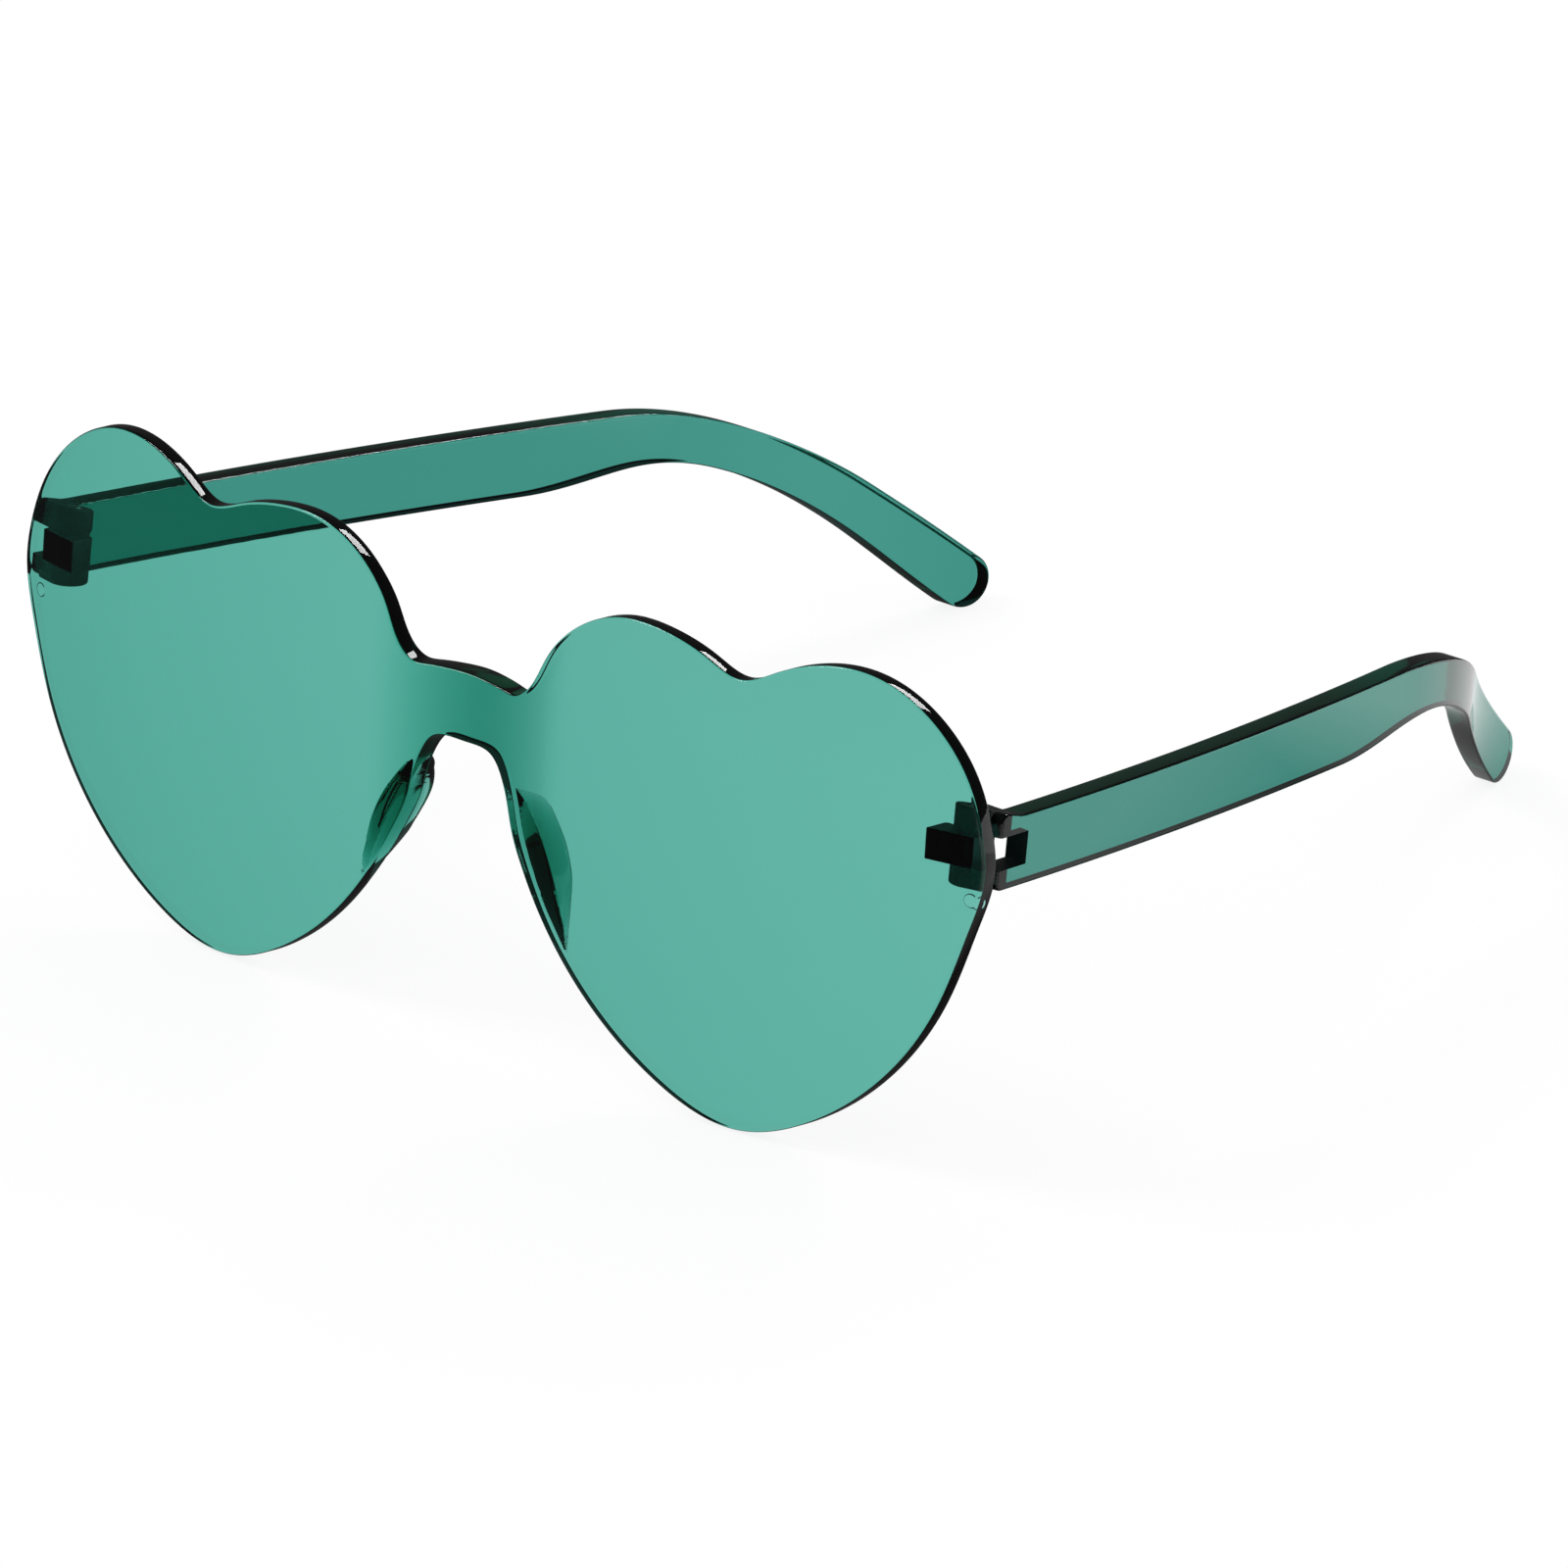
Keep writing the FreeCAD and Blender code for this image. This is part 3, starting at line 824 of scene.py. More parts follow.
@dataclass(frozen=True)
class WhiteTable(Finish):
    """White board that keeps the shadow of the glasses.

    Through the plastic it shows painted light: bright near the glasses, dim far away. In their gloss it is
    dim, but for painted glow that only their reflections see: a pale patch on the right and a white one
    behind them.
    """

    grey: Colour = (0.90, 0.90, 0.90)
    white: Colour = (0.92, 0.92, 0.92)
    tone_scale: float = 30.0
    matt: float = 0.7
    own_white: float = 0.87
    gloom: float = 0.06
    bright_reach: float = 0.3
    bright_fade: float = 0.3
    card_start: float = 0.08
    card_fade: float = 0.03
    card_light: float = 0.6
    rear_start: float = 0.055

    def dress(self, nodes: Nodes) -> None:
        """Add the board, and the glow that the glasses mirror and let through.

        Args:
            nodes: Empty tree of the material.
        """
        place = nodes.object_place()
        tone = nodes.noise(place, self.tone_scale, detail=2.0)
        board = nodes.plain({"Base Color": nodes.blend(tone, self.grey, self.white), "Roughness": self.matt})
        seen, through, glossy = map(nodes.ray, ("Camera", "Transmission", "Glossy"))
        away = nodes.add("ShaderNodeVectorMath", {"operation": "LENGTH"}, {0: place}, "Value")
        # Painted light: seen through the plastic, the table is bright near the glasses and dim far away.
        near = ((self.bright_reach + self.bright_fade - away) / self.bright_fade).share()
        x, y = (nodes.add("ShaderNodeSeparateXYZ", {}, {0: place}, axis) for axis in "XY")
        # Painted light: the table glows only for reflections, pale to the right of the glasses and white
        # behind them.
        beside = ((x - self.card_start) / self.card_fade).share()
        behind = ((y - self.rear_start) / self.card_fade).share() * (x / self.card_fade).share()
        mirror = self.gloom + (self.card_light * beside).at_least(behind)
        strength = seen + through * (self.gloom + (1 - self.gloom) * near) + mirror * glossy * (1 - through)
        glow = nodes.add("ShaderNodeEmission", {}, {"Color": (1, 1, 1, 1), "Strength": strength})
        shining = (self.own_white * seen).at_least(glossy.at_least(through))
        nodes.end(nodes.either(shining, board, glow))


# Sub-assemblies


@dataclass
class Piece:
    """Base of the sub-assemblies: puts a mesh in its place and hangs it on its body."""

    fit: Fit
    stance: Stance

    def hole(self, side: Side, radius: float, low: float, high: float) -> Shape:
        """Round hole about a pin between two heights."""
        profile = np.array([(0, low), (radius, low), (radius, high), (0, high)])
        return turned(profile, self.fit.pin(side), count=48)

    def show(
        self, mesh: bpy.types.Mesh, name: str, node: str, body: str, slot: str, *finishes: Finish
    ) -> bpy.types.Object:
        """Make the object of a mesh that stands for a node.

        Args:
            mesh: Mesh in metres, as worn.
            name: Name of the piece.
            node: Node that the piece stands for.
            body: Body that carries the piece.
            slot: Material slot of the record; not used.
            *finishes: Finishes of the piece, in the order of its layers.

        Returns:
            The object.
        """
        self.stance.stand(mesh)
        mesh.name = name
        mesh.polygons.foreach_set("use_smooth", np.ones(len(mesh.polygons), bool))
        mesh.set_sharp_from_angle(angle=SHARP_ANGLE)
        layer = np.zeros(len(mesh.polygons), np.int32)
        mesh.polygons.foreach_get("material_index", layer)
        mesh.materials.clear()
        for finish in finishes:
            mesh.materials.append(finish.material())
        mesh.polygons.foreach_set("material_index", layer)
        piece = linked(name, mesh)
        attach(piece, body)
        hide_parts(node)
        LOG.info("%s: %d faces on %s", name, len(mesh.polygons), body)
        return piece


@dataclass
class HeartFront(Piece):
    """Both heart lenses, the bridge, the nose pads and the hinge knuckles, in one moulding."""

    finish: TintedPlastic
    hinge_finish: EtchedPlastic
    heart_height: float = 59.5
    tip_z: float = -41.0
    rim_round: float = 0.3
    rim_points: int = 1100
    edge_points: int = 6000
    bridge_reach: float = 12.0
    bridge_fade: float = 15.0
    bridge_ease: float = 0.25
    bridge_setback: float = 1.2
    bridge_thickness: float = 3.8
    pad_width: float = 3.9
    pad_rise: float = 4.6
    pad_root: float = 1.0
    pad_steep: float = 4.5
    pad_dome: float = 1.4
    pad_swell: float = 0.5
    pad_draft: float = 0.4
    pad_ledge: float = 0.3
    pad_shore: float = 0.45
    pad_climb: float = 0.25
    pad_blend: float = 0.25
    pad_zone: float = 20.0
    pad_rows: int = 121
    pad_grain: float = 0.11
    pad_close_lines: int = 10
    pad_wide_lines: int = 9
    pad_spread: int = 3
    pad_wall_shares: tuple[float, ...] = (0.0, 0.25, 0.5, 0.75, 0.95)
    pad_foot_gaps: tuple[float, ...] = (0.1, 0.3, 0.7)
    no_pad: float = -50.0
    knuckle_radius: float = 2.1
    knuckle_reach: float = 3.7
    knuckle_root: float = 0.8
    knuckle_relief: float = 0.3
    knuckle_round: float = 0.5
    bore_radius: float = 0.75
    mark_radius: float = 0.8
    mark_depth: float = 0.15
    mark_drop: float = 5.6
    mark_inset: float = 2.5
    mark_lip: float = 1.05
    mark_slope: float = 0.12
    mark_points: int = 40
    mark_rings: tuple[float, ...] = (0.3, 0.6, 0.86, 0.93, 1.0, 1.07, 1.3)
    heart_shares: Pairs = (
        (0.045, 0.751), (0.085, 0.7465), (0.106, 0.7455), (0.121, 0.7535),
        (0.139, 0.776), (0.167, 0.841), (0.312, 0.967), (0.403, 0.967),
        (0.484, 0.942), (0.553, 0.918), (0.615, 0.950), (0.800, 0.988),
        (0.957, 0.843), (0.993, 0.728), (1.000, 0.655), (0.978, 0.541),
        (0.928, 0.375), (0.680, 0.053), (0.533, 0.000), (0.388, 0.060),
    )
    nasal_shares: Pairs = (
        (0.209, 0.254), (0.156, 0.352), (0.132, 0.407), (0.111, 0.465),
        (0.098, 0.525), (0.087, 0.563),
    )
    middle_shares: Pairs = ((0.061, 0.6065), (0.0, 0.615), (0.0, 0.753))
    pad_width_shares: tuple[float, ...] = (0.25, 0.80, 1.00, 0.97, 0.58, 0.20)
    pad_rise_shares: tuple[float, ...] = (-0.10, 0.70, 0.95, 1.00, 0.68, -0.10)

    def from_shares(self, shares: Sequence[tuple[float, float]]) -> Array:
        """Front view places of points given as shares of the half width and of the heart height."""
        return np.asarray(shares) * (self.fit.half_width, self.heart_height) + (0, self.tip_z)

    def outline(self, count: int) -> Array:
        """Whole outline in the front view: both hearts, the bridge top and the nose arch.

        Args:
            count: Number of points.

        Returns:
            The points, one row each.
        """
        right = self.from_shares(self.heart_shares + self.nasal_shares + self.middle_shares[:1])
        arch, crown = self.from_shares(self.middle_shares[1:])
        return closed_curve(np.vstack([right, arch, right[::-1] * (-1, 1), crown]), count)

    def face(self, radius: float, middle: float, reach: float) -> Level:
        """Depth of one face over the front view.

        In plan the face is a lens arc about (apex_offset, lens_radius) and an eased bridge to the middle. It
        is turned about the level line through the lens centres, which makes its depth
        lens_radius - sqrt((lens_radius - plan)^2 - rise^2).

        Args:
            radius: Radius of the lens face.
            middle: Depth of the face in the middle of the bridge.
            reach: Half width of the eased bridge.

        Returns:
            The depth as a function of front view places.
        """
        fit = self.fit
        inner = math.asin((reach - fit.apex_offset) / radius)
        joint = np.array([reach, fit.lens_radius - radius * math.cos(inner)])
        inward = np.array([-math.cos(inner), -math.sin(inner)])
        centre, level = np.array([0.0, middle]), np.array([-1.0, 0.0])
        bridge = eased_points(joint, inward, centre, level, count=400, ease=self.bridge_ease)[::-1]

        def depth(flat: Array) -> Array:
            """Depth at front view places."""
            x, rise = np.abs(flat[:, 0]), flat[:, 1] - fit.apex_rise
            lens = fit.lens_radius - np.sqrt(radius**2 - (np.maximum(x, reach) - fit.apex_offset) ** 2)
            plan = np.where(x < reach, np.interp(x, bridge[:, 0], bridge[:, 1]), lens)
            return fit.lens_radius - np.sqrt((fit.lens_radius - plan) ** 2 - rise**2)

        return depth

    def pad_table(self) -> dict[str, Array]:
        """Sizes of the right nose pad at close heights, eased between its six stations.

        Returns:
            Height, inner and outer foot, root and crest, with heights rising.
        """
        fit = self.fit
        nose = self.from_shares(self.nasal_shares)
        inner = nose[:, 0] + self.pad_ledge
        outer = inner + self.pad_width * np.asarray(self.pad_width_shares)
        rear = np.array([fit.lens_y(fit.rear_radius, x, z) for x, z in zip(outer, nose[:, 1])])
        stations = {
            "height": nose[:, 1],
            "inner": inner,
            "outer": outer,
            "root": rear - self.pad_root,
            "crest": rear + self.pad_rise * np.asarray(self.pad_rise_shares),
        }
        at = np.arange(len(nose))
        fine = np.linspace(0, len(nose) - 1, self.pad_rows)
        return {key: through_stations(at, value, fine) for key, value in stations.items()}

    def pad_depth(self, flat: Array) -> Array:
        """Depth of the rear face of either pad over the front view, far in front where there is none.

        Across a pad the depth is the soft least of a steep line from the inner foot, a parabola that domes
        over the crest, and a drafted line down to the outer foot. It fades in from the shore, a line beside
        the nasal edge, by 3*s^2 - 2*s^3.

        Args:
            flat: Front view places.

        Returns:
            The depth at each place.
        """
        table = self.pad_table()
        height = table.pop("height")
        x, z = np.abs(flat[:, 0]), flat[:, 1]
        inner, outer, root, crest = (np.interp(z, height, value) for value in table.values())
        wall = outer - self.pad_draft
        rise = root + self.pad_steep * (x - inner)
        top = crest + self.pad_swell - self.pad_dome * ((2 * x - inner - wall) / (wall - inner)) ** 2
        fall = crest + (root - crest) * (x - wall) / self.pad_draft
        depth = soft_least(soft_least(rise, top, 2 * self.pad_blend), fall, 2 * self.pad_blend)
        nowhere = (x < inner) | (x > outer) | (z < height.min()) | (z > height.max())
        edge = self.outline(self.edge_points)
        edge = edge[(edge[:, 0] > 0) & (edge[:, 0] < self.pad_zone) & (edge[:, 1] < 0)]
        clear = np.zeros(len(flat))
        place = np.column_stack([x, z])[~nowhere, None]
        clear[~nowhere] = np.min(np.linalg.norm(place - edge, axis=2), axis=1)
        share = np.clip((clear - self.pad_shore) / self.pad_climb, 0, 1)
        share = share**2 * (3 - 2 * share)
        return np.where(nowhere, self.no_pad, root + np.maximum(depth - root, 0) * share)

    def pad_spots(self) -> Array:
        """Front view places along the lines of both pads, so that the rear face follows their edges."""
        table = self.pad_table()
        inner, outer = table["inner"], table["outer"]
        wall = outer - self.pad_draft
        close = np.arange(1, self.pad_close_lines + 1) * self.pad_grain
        wide = close[-1] + np.arange(1, self.pad_wide_lines + 1) * self.pad_spread * self.pad_grain
        top = inner + np.concatenate([close, wide])[:, None]
        low = wall + self.pad_draft * np.array(self.pad_wall_shares)[:, None]
        foot = outer + np.array(self.pad_foot_gaps)[:, None]
        x = np.vstack([np.where(top < wall - self.pad_grain / 2, top, np.nan), low, foot])
        right = np.column_stack([x.ravel(), np.broadcast_to(table["height"], x.shape).ravel()])
        return on_both_sides(right[~np.isnan(right[:, 0])])

    def mark_spots(self) -> Array:
        """Front view places in rings round both ejector marks."""
        angle = np.linspace(0, 2 * math.pi, self.mark_points, endpoint=False)
        radius = self.mark_radius * np.array(self.mark_rings)
        rings = radius[:, None, None] * np.stack([np.cos(angle), np.sin(angle)], axis=-1)
        return on_both_sides(rings.reshape(-1, 2) + self.mark_centre())

    def mark_centre(self) -> Array:
        """Front view place of the right ejector mark."""
        return np.array([self.fit.half_width - self.mark_inset, -self.mark_drop])

    def rear_relief(self, rear: Level) -> Level:
        """Rear face with its nose pads and ejector marks.

        The pads are joined by a smooth maximum of both depths, and each mark is a flat-bottomed round dip.

        Args:
            rear: Plain rear face.

        Returns:
            The depth as a function of front view places.
        """

        def depth(flat: Array) -> Array:
            """Depth at front view places."""
            plain, pad = rear(flat), self.pad_depth(flat)
            swollen = -soft_least(-pad, -plain, self.pad_blend)
            x, z = self.mark_centre()
            away = np.hypot(np.abs(flat[:, 0]) - x, flat[:, 1] - z)
            dip = (self.mark_radius * self.mark_lip - away) / (self.mark_radius * self.mark_slope)
            return swollen - self.mark_depth * np.clip(dip, 0, 1)

        return depth

    def knuckle(self, side: Side) -> Shape:
        """Hinge knuckle of one side: an eye for the pin on a rib, as a plate seen in plan.

        Args:
            side: Side of the face.

        Returns:
            The shape, with its root inside the lens.
        """
        fit = self.fit
        inboard = fit.pin_x - self.knuckle_reach
        back = fit.pin_y - self.knuckle_relief
        outboard = fit.pin_x + self.knuckle_radius * math.cos(fit.wrap)
        meet = math.pi + math.asin(self.knuckle_relief / self.knuckle_radius)
        root = np.array(
            [(x, fit.lens_y(fit.rear_radius, x, 0) - self.knuckle_root) for x in (outboard, inboard)]
        )
        r = self.knuckle_round
        shoulder = arc_points((inboard + r, back - r), r, math.pi, math.pi / 2, count=8)
        eye = arc_points(fit.pin(Side.RIGHT), self.knuckle_radius, fit.wrap, meet, count=30)[::-1]
        loop = even_loop(np.vstack([root, shoulder, eye]), count=64) * (side.value, 1)
        half = fit.knuckle_height / 2
        return Plate(loop, constant(-half), constant(half), round=0.1, pitch=0.7, steps=4).shape(upright)

    def build(self) -> bpy.types.Object:
        """Build and dress the front.

        Returns:
            The object.
        """
        fit = self.fit
        front = self.face(fit.lens_radius, self.bridge_setback, self.bridge_reach)
        rear = self.face(fit.rear_radius, self.bridge_setback + self.bridge_thickness, self.bridge_fade)
        plate = Plate(
            self.outline(self.rim_points),
            front,
            rear,
            round=self.rim_round,
            pitch=1.6,
            steps=6,
            high_points=np.vstack([self.pad_spots(), self.mark_spots()]),
            high_relief=self.rear_relief(rear),
        )
        sheet = plate.shape(lambda flat, level: np.column_stack([flat[:, 0], level, flat[:, 1]]))
        reach = fit.knuckle_height
        steps = [(Join.UNION, self.knuckle(side)) for side in Side]
        steps += [(Join.CUT, self.hole(side, self.bore_radius, -reach, reach)) for side in Side]
        mesh = joined(sheet.mesh("heart_moulding"), steps)
        # The knuckles and bores, on layer 1, get the near-black painted shade of the hinges.
        finishes = (self.finish, self.hinge_finish)
        return self.show(mesh, "heart_moulding", "heart_front", "front", "tinted_front", *finishes)


@dataclass
class Temple(Piece):
    """One temple: a bowed strip with a slotted fork at the hinge, a bend and a paddle."""

    side: Side
    finish: TintedPlastic
    hinge_finish: EtchedPlastic
    thickness: float = 3.0
    edge_round: float = 0.3
    corner_round: float = 1.0
    splay: float = math.radians(3.8)
    beam_radius: float = 685.0
    hook_radius: float = 72.0
    hook_lag: float = 2.5
    hook_run: float = 25.5
    toe_radius: float = 65.0
    bend_start: float = 84.0
    bend_radius: float = 56.0
    bend_angle: float = math.radians(34.4)
    taper_run: float = 13.0
    neck_height: float = 5.6
    paddle_height: float = 6.6
    paddle_run: float = 18.5
    knee: Pairs = ((-1.0, 1.0), (-0.4, 0.3), (0.6, 0.0))
    turn_run: float = 6.0
    eye_start: float = math.radians(75)
    slot_gap: float = 0.1
    slot_reach: float = 4.0
    slot_margin: float = 6.0
    drill_reach: float = 9.0
    bore_radius: float = 0.72
    seat_radius: float = 1.15

    @property
    def bend_y(self) -> float:
        """Depth at which the bend begins."""
        return self.fit.pin_y + self.bend_start

    @property
    def corner(self) -> Array:
        """Outer front corner of the fork, in plan."""
        fit = self.fit
        foot = fit.pin(Side.RIGHT) + fit.barrel_radius * np.array([math.sin(fit.wrap), -math.cos(fit.wrap)])
        return foot + np.array([1, math.tan(fit.wrap)]) * (fit.half_width - foot[0])

    def bow(self, y: Array, depth: Array) -> Array:
        """Distance from the middle of the face at a depth in from the outer face.

        In plan the strip is three arcs that meet smoothly: a flat one along the beam, a tight one inwards
        behind the bend and one back outwards at the toe. Each is centre_x + or - sqrt(radius^2 -
        (y - centre_y)^2), with the depth taken from the first two radii and added to the third.

        Args:
            y: Depth behind the lens.
            depth: Distance in from the outer face.

        Returns:
            The distance from the middle.
        """

        def towards(angle: float) -> Array:
            """Unit direction at an angle in plan."""
            return np.array([math.cos(angle), math.sin(angle)])

        def across(radius: Array, off: Array) -> Array:
            """Half width of a circle at a distance off its middle."""
            return np.sqrt(radius**2 - off**2)

        hook_start = self.bend_y + self.hook_lag
        beam = self.corner - self.beam_radius * towards(self.splay)
        turn = math.asin((hook_start - beam[1]) / self.beam_radius)
        hook = beam + (self.beam_radius - self.hook_radius) * towards(turn)
        sway = math.asin((hook_start + self.hook_run - hook[1]) / self.hook_radius)
        toe = hook + (self.hook_radius + self.toe_radius) * towards(sway)
        first = hook_start - depth * math.sin(turn)
        second = hook_start + self.hook_run - depth * math.sin(sway)
        along = beam[0] + across(self.beam_radius - depth, np.minimum(y, first) - beam[1])
        inwards = hook[0] + across(self.hook_radius - depth, np.clip(y, first, second) - hook[1])
        outwards = toe[0] - across(self.toe_radius + depth, np.maximum(y, second) - toe[1])
        return np.where(y < first, along, np.where(y < second, inwards, outwards))

    def side_view(self) -> Array:
        """Outline in the side view: shoulder over the fork, straight beam, bend, paddle, neck and underside.

        Returns:
            Even points of the loop, as depth and height.
        """
        fit = self.fit
        crown = np.array([self.bend_y, fit.temple_top - self.bend_radius])
        over = arc_points(crown, self.bend_radius, math.pi / 2, math.pi / 2 - self.bend_angle, count=40)
        forward = np.array([math.cos(self.bend_angle), -math.sin(self.bend_angle)])
        down = np.array([-math.sin(self.bend_angle), -math.cos(self.bend_angle)])
        end = over[-1] + forward * self.paddle_run
        middle = end + down * self.paddle_height / 2
        heading = math.atan2(-down[1], -down[0])
        toe = arc_points(middle, self.paddle_height / 2, heading, heading - math.pi, count=40)
        halfway = (math.pi - self.bend_angle) / 2
        out = np.array([math.cos(halfway), math.sin(halfway)])
        neck = crown + (self.bend_radius - self.neck_height) * out
        rising = np.array([-out[1], out[0]])
        under = np.array([self.bend_y - self.taper_run, fit.temple_bottom])
        heel = eased_points(toe[-1], -forward, neck, rising, count=40)
        belly = eased_points(neck, rising, under, np.array([-1.0, 0.0]), count=40)
        y = self.corner[1]
        r = self.corner_round
        slope = fit.shoulder_rise / fit.shoulder_run
        shoulder = fit.fork_front + fit.shoulder_run
        lower = arc_points((y + r, fit.temple_bottom + r), r, -math.pi / 2, -math.pi, count=10)
        rise_top = fit.lug_top - slope * (y + r - fit.fork_front)
        upper = arc_points((y + r, rise_top - r), r, math.pi, math.pi / 2, count=10)
        knee = np.array([shoulder, fit.temple_top]) + np.array(self.knee) * (1, slope)
        return even_loop(np.vstack([upper, knee, over, toe, heel, belly, lower]), count=900)

    def place(self, flat: Array, level: Array) -> Array:
        """Place a side view outline: X from the bow, with the front face turned to the lens.

        Args:
            flat: Depth and height.
            level: Distance in from the outer face.

        Returns:
            Places in space.
        """
        y, z = flat.T
        fade = np.clip(1 - (y - self.corner[1]) / self.turn_run, 0, 1)
        turned_y = y - fade * level * math.tan(self.fit.wrap)
        return np.column_stack([self.side.value * self.bow(y, level), turned_y, z])

    def barrel(self) -> Shape:
        """Hinge barrel of the fork with the block that ties it to the strip, as a plate seen in plan."""
        fit = self.fit
        end = fit.wrap + 1.5 * math.pi
        eye = arc_points(fit.pin(Side.RIGHT), fit.barrel_radius, self.eye_start, end, count=60)
        front = self.corner - self.thickness / 2 * np.array([1, math.tan(fit.wrap)])
        r = self.edge_round
        nose = arc_points(front + (-r, r), r, -math.pi / 2 + fit.wrap, 0, count=8)
        heel = arc_points((front[0] - r, eye[0, 1] - r), r, 0, math.pi / 2, count=8)
        loop = even_loop(np.vstack([eye, nose, heel]), count=110) * (self.side.value, 1)

        def top(flat: Array) -> Array:
            """Height of the shoulder."""
            behind = np.maximum(flat[:, 1] - fit.fork_front, 0)
            return fit.lug_top - fit.shoulder_rise / fit.shoulder_run * behind

        bottom = constant(fit.temple_bottom)
        return Plate(loop, bottom, top, round=0.2, pitch=0.6, steps=5).shape(upright)

    def slot(self) -> Shape:
        """Slot of the fork, with a little play round the knuckle."""
        fit = self.fit
        half = fit.knuckle_height / 2 + self.slot_gap
        left, right = fit.pin_x - self.slot_margin, fit.pin_x + self.slot_margin
        front, back = fit.fork_front - self.slot_margin, fit.pin_y + self.slot_reach
        corners = np.array([(left, front), (right, front), (right, back), (left, back)])
        loop = even_loop(corners * (self.side.value, 1), count=80)
        return Plate(loop, constant(-half), constant(half), round=0.05, pitch=3.0, steps=3).shape(upright)

    def build(self) -> bpy.types.Object:
        """Build and dress the temple.

        Returns:
            The object.
        """
        inner = constant(self.thickness)
        plate = Plate(self.side_view(), constant(0.0), inner, round=self.edge_round, pitch=1.6, steps=7)
        name = f"{self.side.word}_temple_moulding"
        seat, reach = self.fit.lug_top - self.fit.head_sink, self.drill_reach
        steps = [
            (Join.UNION, self.barrel()),
            (Join.CUT, self.slot()),
            (Join.CUT, self.hole(self.side, self.bore_radius, -reach, reach)),
            (Join.CUT, self.hole(self.side, self.seat_radius, seat, reach)),
        ]
        mesh = joined(plate.shape(self.place).mesh(name), steps)
        node, body = f"{self.side.word}_temple", f"{self.side.word}_arm"
        # The barrel, slot, bore and seat, on layer 1, get the near-black painted shade of the hinges.
        return self.show(mesh, name, node, body, "tinted_temple", self.finish, self.hinge_finish)


@dataclass
class HingePin(Piece):
    """One steel pin with a low domed head."""

    side: Side
    head: float = 1.1
    head_height: float = 0.5
    dome: float = 0.25
    edge: float = 0.1

    def profile(self) -> Array:
        """Radius and height from the dome to the foot: a flat arc, a rounded rim, the shank, its chamfer."""
        seat = self.fit.lug_top - self.fit.head_sink
        rim = seat + self.head_height
        ball = (self.head**2 + self.dome**2) / (2 * self.dome)
        radius = np.linspace(0, self.head - self.edge, num=12)
        cap = np.column_stack([radius, rim + self.dome - ball + np.sqrt(ball**2 - radius**2)])
        corner = (self.head - self.edge, cap[-1, 1] - self.edge)
        rounded = arc_points(corner, self.edge, math.pi / 2, 0, count=6)
        shank, foot = self.fit.pin_radius, self.fit.temple_bottom
        stem = [(shank, seat), (shank, foot + self.edge), (shank - self.edge, foot), (0, foot)]
        return np.vstack([cap, rounded[1:], (self.head, seat), stem])

    def build(self) -> bpy.types.Object:
        """Build and dress the pin.

        Returns:
            The object.
        """
        shape = turned(self.profile(), self.fit.pin(self.side), count=72)
        name = f"{self.side.word}_turned_pin"
        low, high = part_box(f"{self.side.word}_hinge_pin")
        centre = tuple((np.asarray(low) + np.asarray(high)) / 2)
        finish = TurnedSteel(f"{self.side.word}_pin_steel", centre, self.stance.lean)
        body = f"{self.side.word}_arm"
        return self.show(shape.mesh(name), name, f"{self.side.word}_hinge_pin", body, "pin_steel", finish)


# Studio


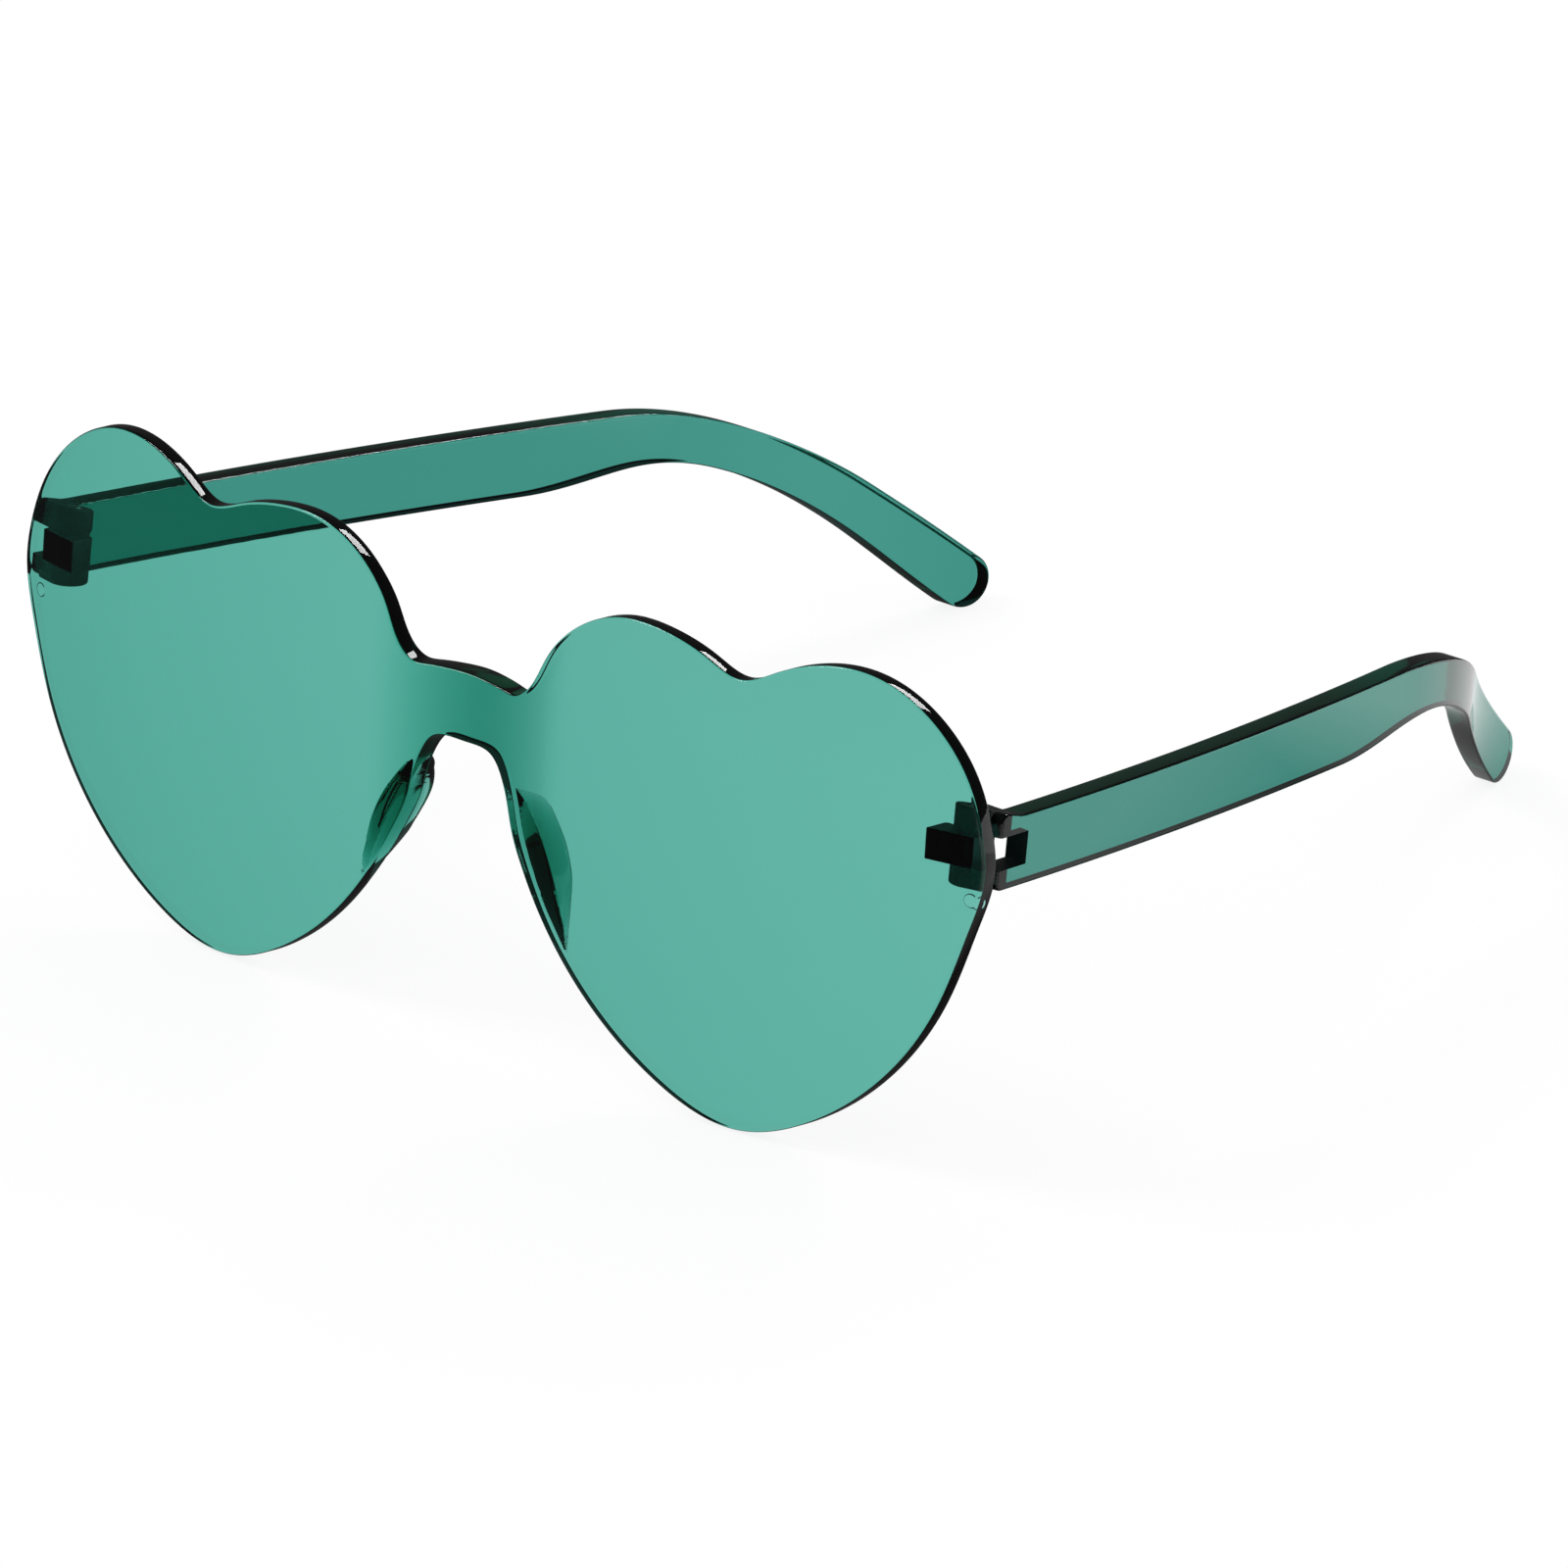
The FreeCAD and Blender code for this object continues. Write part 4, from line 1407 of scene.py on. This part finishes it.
@dataclass(frozen=True)
class Studio:
    """White table, soft light and the camera of the photograph."""

    stance: Stance
    board: WhiteTable = WhiteTable("white_table")
    board_reach: float = 6.0
    azimuth: float = math.radians(41.665)
    elevation: float = math.radians(23.8145)
    roll: float = math.radians(-0.6115)
    distance: float = 2.7029
    focal_length: float = 543.4
    sensor: float = 36.0
    sight: float = 20.0
    aim: tuple[float, float, float] = (0.0, 0.3, -41.998)
    aim_right: float = 0.036745
    aim_up: float = 0.029785
    lamp_aim: tuple[float, float, float] = (0.0, 0.0, 0.03)
    fill_light: float = 0.85

    def camera(self) -> None:
        """Set up the camera: far away with a long lens, so that there is almost no perspective."""
        a, e = self.azimuth, self.elevation
        level = Vector((math.cos(a), math.sin(a), 0))
        rise = Vector((-math.sin(a) * math.sin(e), math.cos(a) * math.sin(e), math.cos(e)))
        forward = Vector((-math.sin(a) * math.cos(e), math.cos(a) * math.cos(e), -math.sin(e)))
        right = level * math.cos(self.roll) + rise * math.sin(self.roll)
        up = rise * math.cos(self.roll) - level * math.sin(self.roll)
        aim = (Vector(self.aim) + Vector((0, *self.stance.shift))) * MM
        eye = aim - forward * self.distance
        view = (aim + right * self.aim_right + up * self.aim_up - eye).normalized()
        across = view.cross(up).normalized()
        data = bpy.data.cameras.new("photo_camera")
        data.lens = self.focal_length
        data.sensor_width = self.sensor
        data.clip_end = self.sight
        camera = linked("photo_camera", data)
        turn = Matrix((across, across.cross(view), -view)).transposed().to_4x4()
        camera.matrix_world = Matrix.Translation(eye) @ turn
        bpy.context.scene.camera = camera

    def lamp(self, name: str, place: Sequence[float], size: Sequence[float], power: float) -> None:
        """Add a soft rectangular lamp that faces the object.

        Args:
            name: Name of the lamp.
            place: Where it hangs.
            size: Its width and height.
            power: Its power in watts.
        """
        data = bpy.data.lights.new(name, "AREA")
        data.shape = "RECTANGLE"
        data.size, data.size_y = size
        data.energy = power
        lamp = linked(name, data)
        turn = (Vector(place) - Vector(self.lamp_aim)).to_track_quat("Z", "Y")
        lamp.matrix_world = Matrix.Translation(place) @ turn.to_matrix().to_4x4()
        lamp.visible_transmission = False

    def table(self) -> None:
        """Set up the table under the glasses."""
        far = self.board_reach
        mesh = bpy.data.meshes.new("table")
        mesh.from_pydata([(-far, -far, 0), (far, -far, 0), (far, far, 0), (-far, far, 0)], [], [(0, 1, 2, 3)])
        mesh.materials.append(self.board.material())
        table = linked("table", mesh)

    def world(self) -> None:
        """Dim room round a bright table, with an even fill light."""
        world = bpy.data.worlds.new("studio")
        bpy.context.scene.world = world
        nodes = Nodes(world)
        mirrored = nodes.ray("Glossy").at_least(nodes.ray("Transmission"))
        lit = self.fill_light * (1 - mirrored) + self.board.gloom * mirrored
        strength = lit.at_least(nodes.ray("Camera"))
        sky = nodes.add("ShaderNodeBackground", {}, {"Color": (1, 1, 1, 1), "Strength": strength})
        nodes.end(sky, "World")

    def build(self) -> None:
        """Set up the whole studio."""
        bpy.context.scene.view_settings.view_transform = "Standard"
        self.camera()
        self.table()
        self.world()
        self.lamp("key_lamp", place=(-0.7, -0.5, 1.1), size=(0.5, 0.5), power=6.0)
        self.lamp("rear_lamp", place=(-0.1, 1.0, 0.9), size=(0.5, 0.25), power=3.5)


def main() -> None:
    """Build every piece of the glasses and the studio."""
    logging.basicConfig(level=logging.INFO, format="%(name)s: %(message)s")
    fit = Fit()
    stance = Stance.of_frame(fit)
    LOG.info("lean %.3f degrees, shift %s", math.degrees(stance.lean), stance.shift)
    front = TintedPlastic("tinted_front_plastic", absorbed=(835.0, 300.0, 375.0))
    # The hinge faces of the front get near-black painted shade, in place of the dark the plastic shows there.
    HeartFront(fit, stance, front, EtchedPlastic("front_hinge_faces")).build()
    for side in Side:
        tint = TintedPlastic(f"{side.word}_temple_plastic", absorbed=(850.0, 350.0, 405.0))
        # The hinge faces of each temple get the same near-black painted shade.
        Temple(fit, stance, side, tint, EtchedPlastic(f"{side.word}_hinge_faces")).build()
        HingePin(fit, stance, side).build()
    Studio(stance).build()


if __name__ == "__main__":
    main()
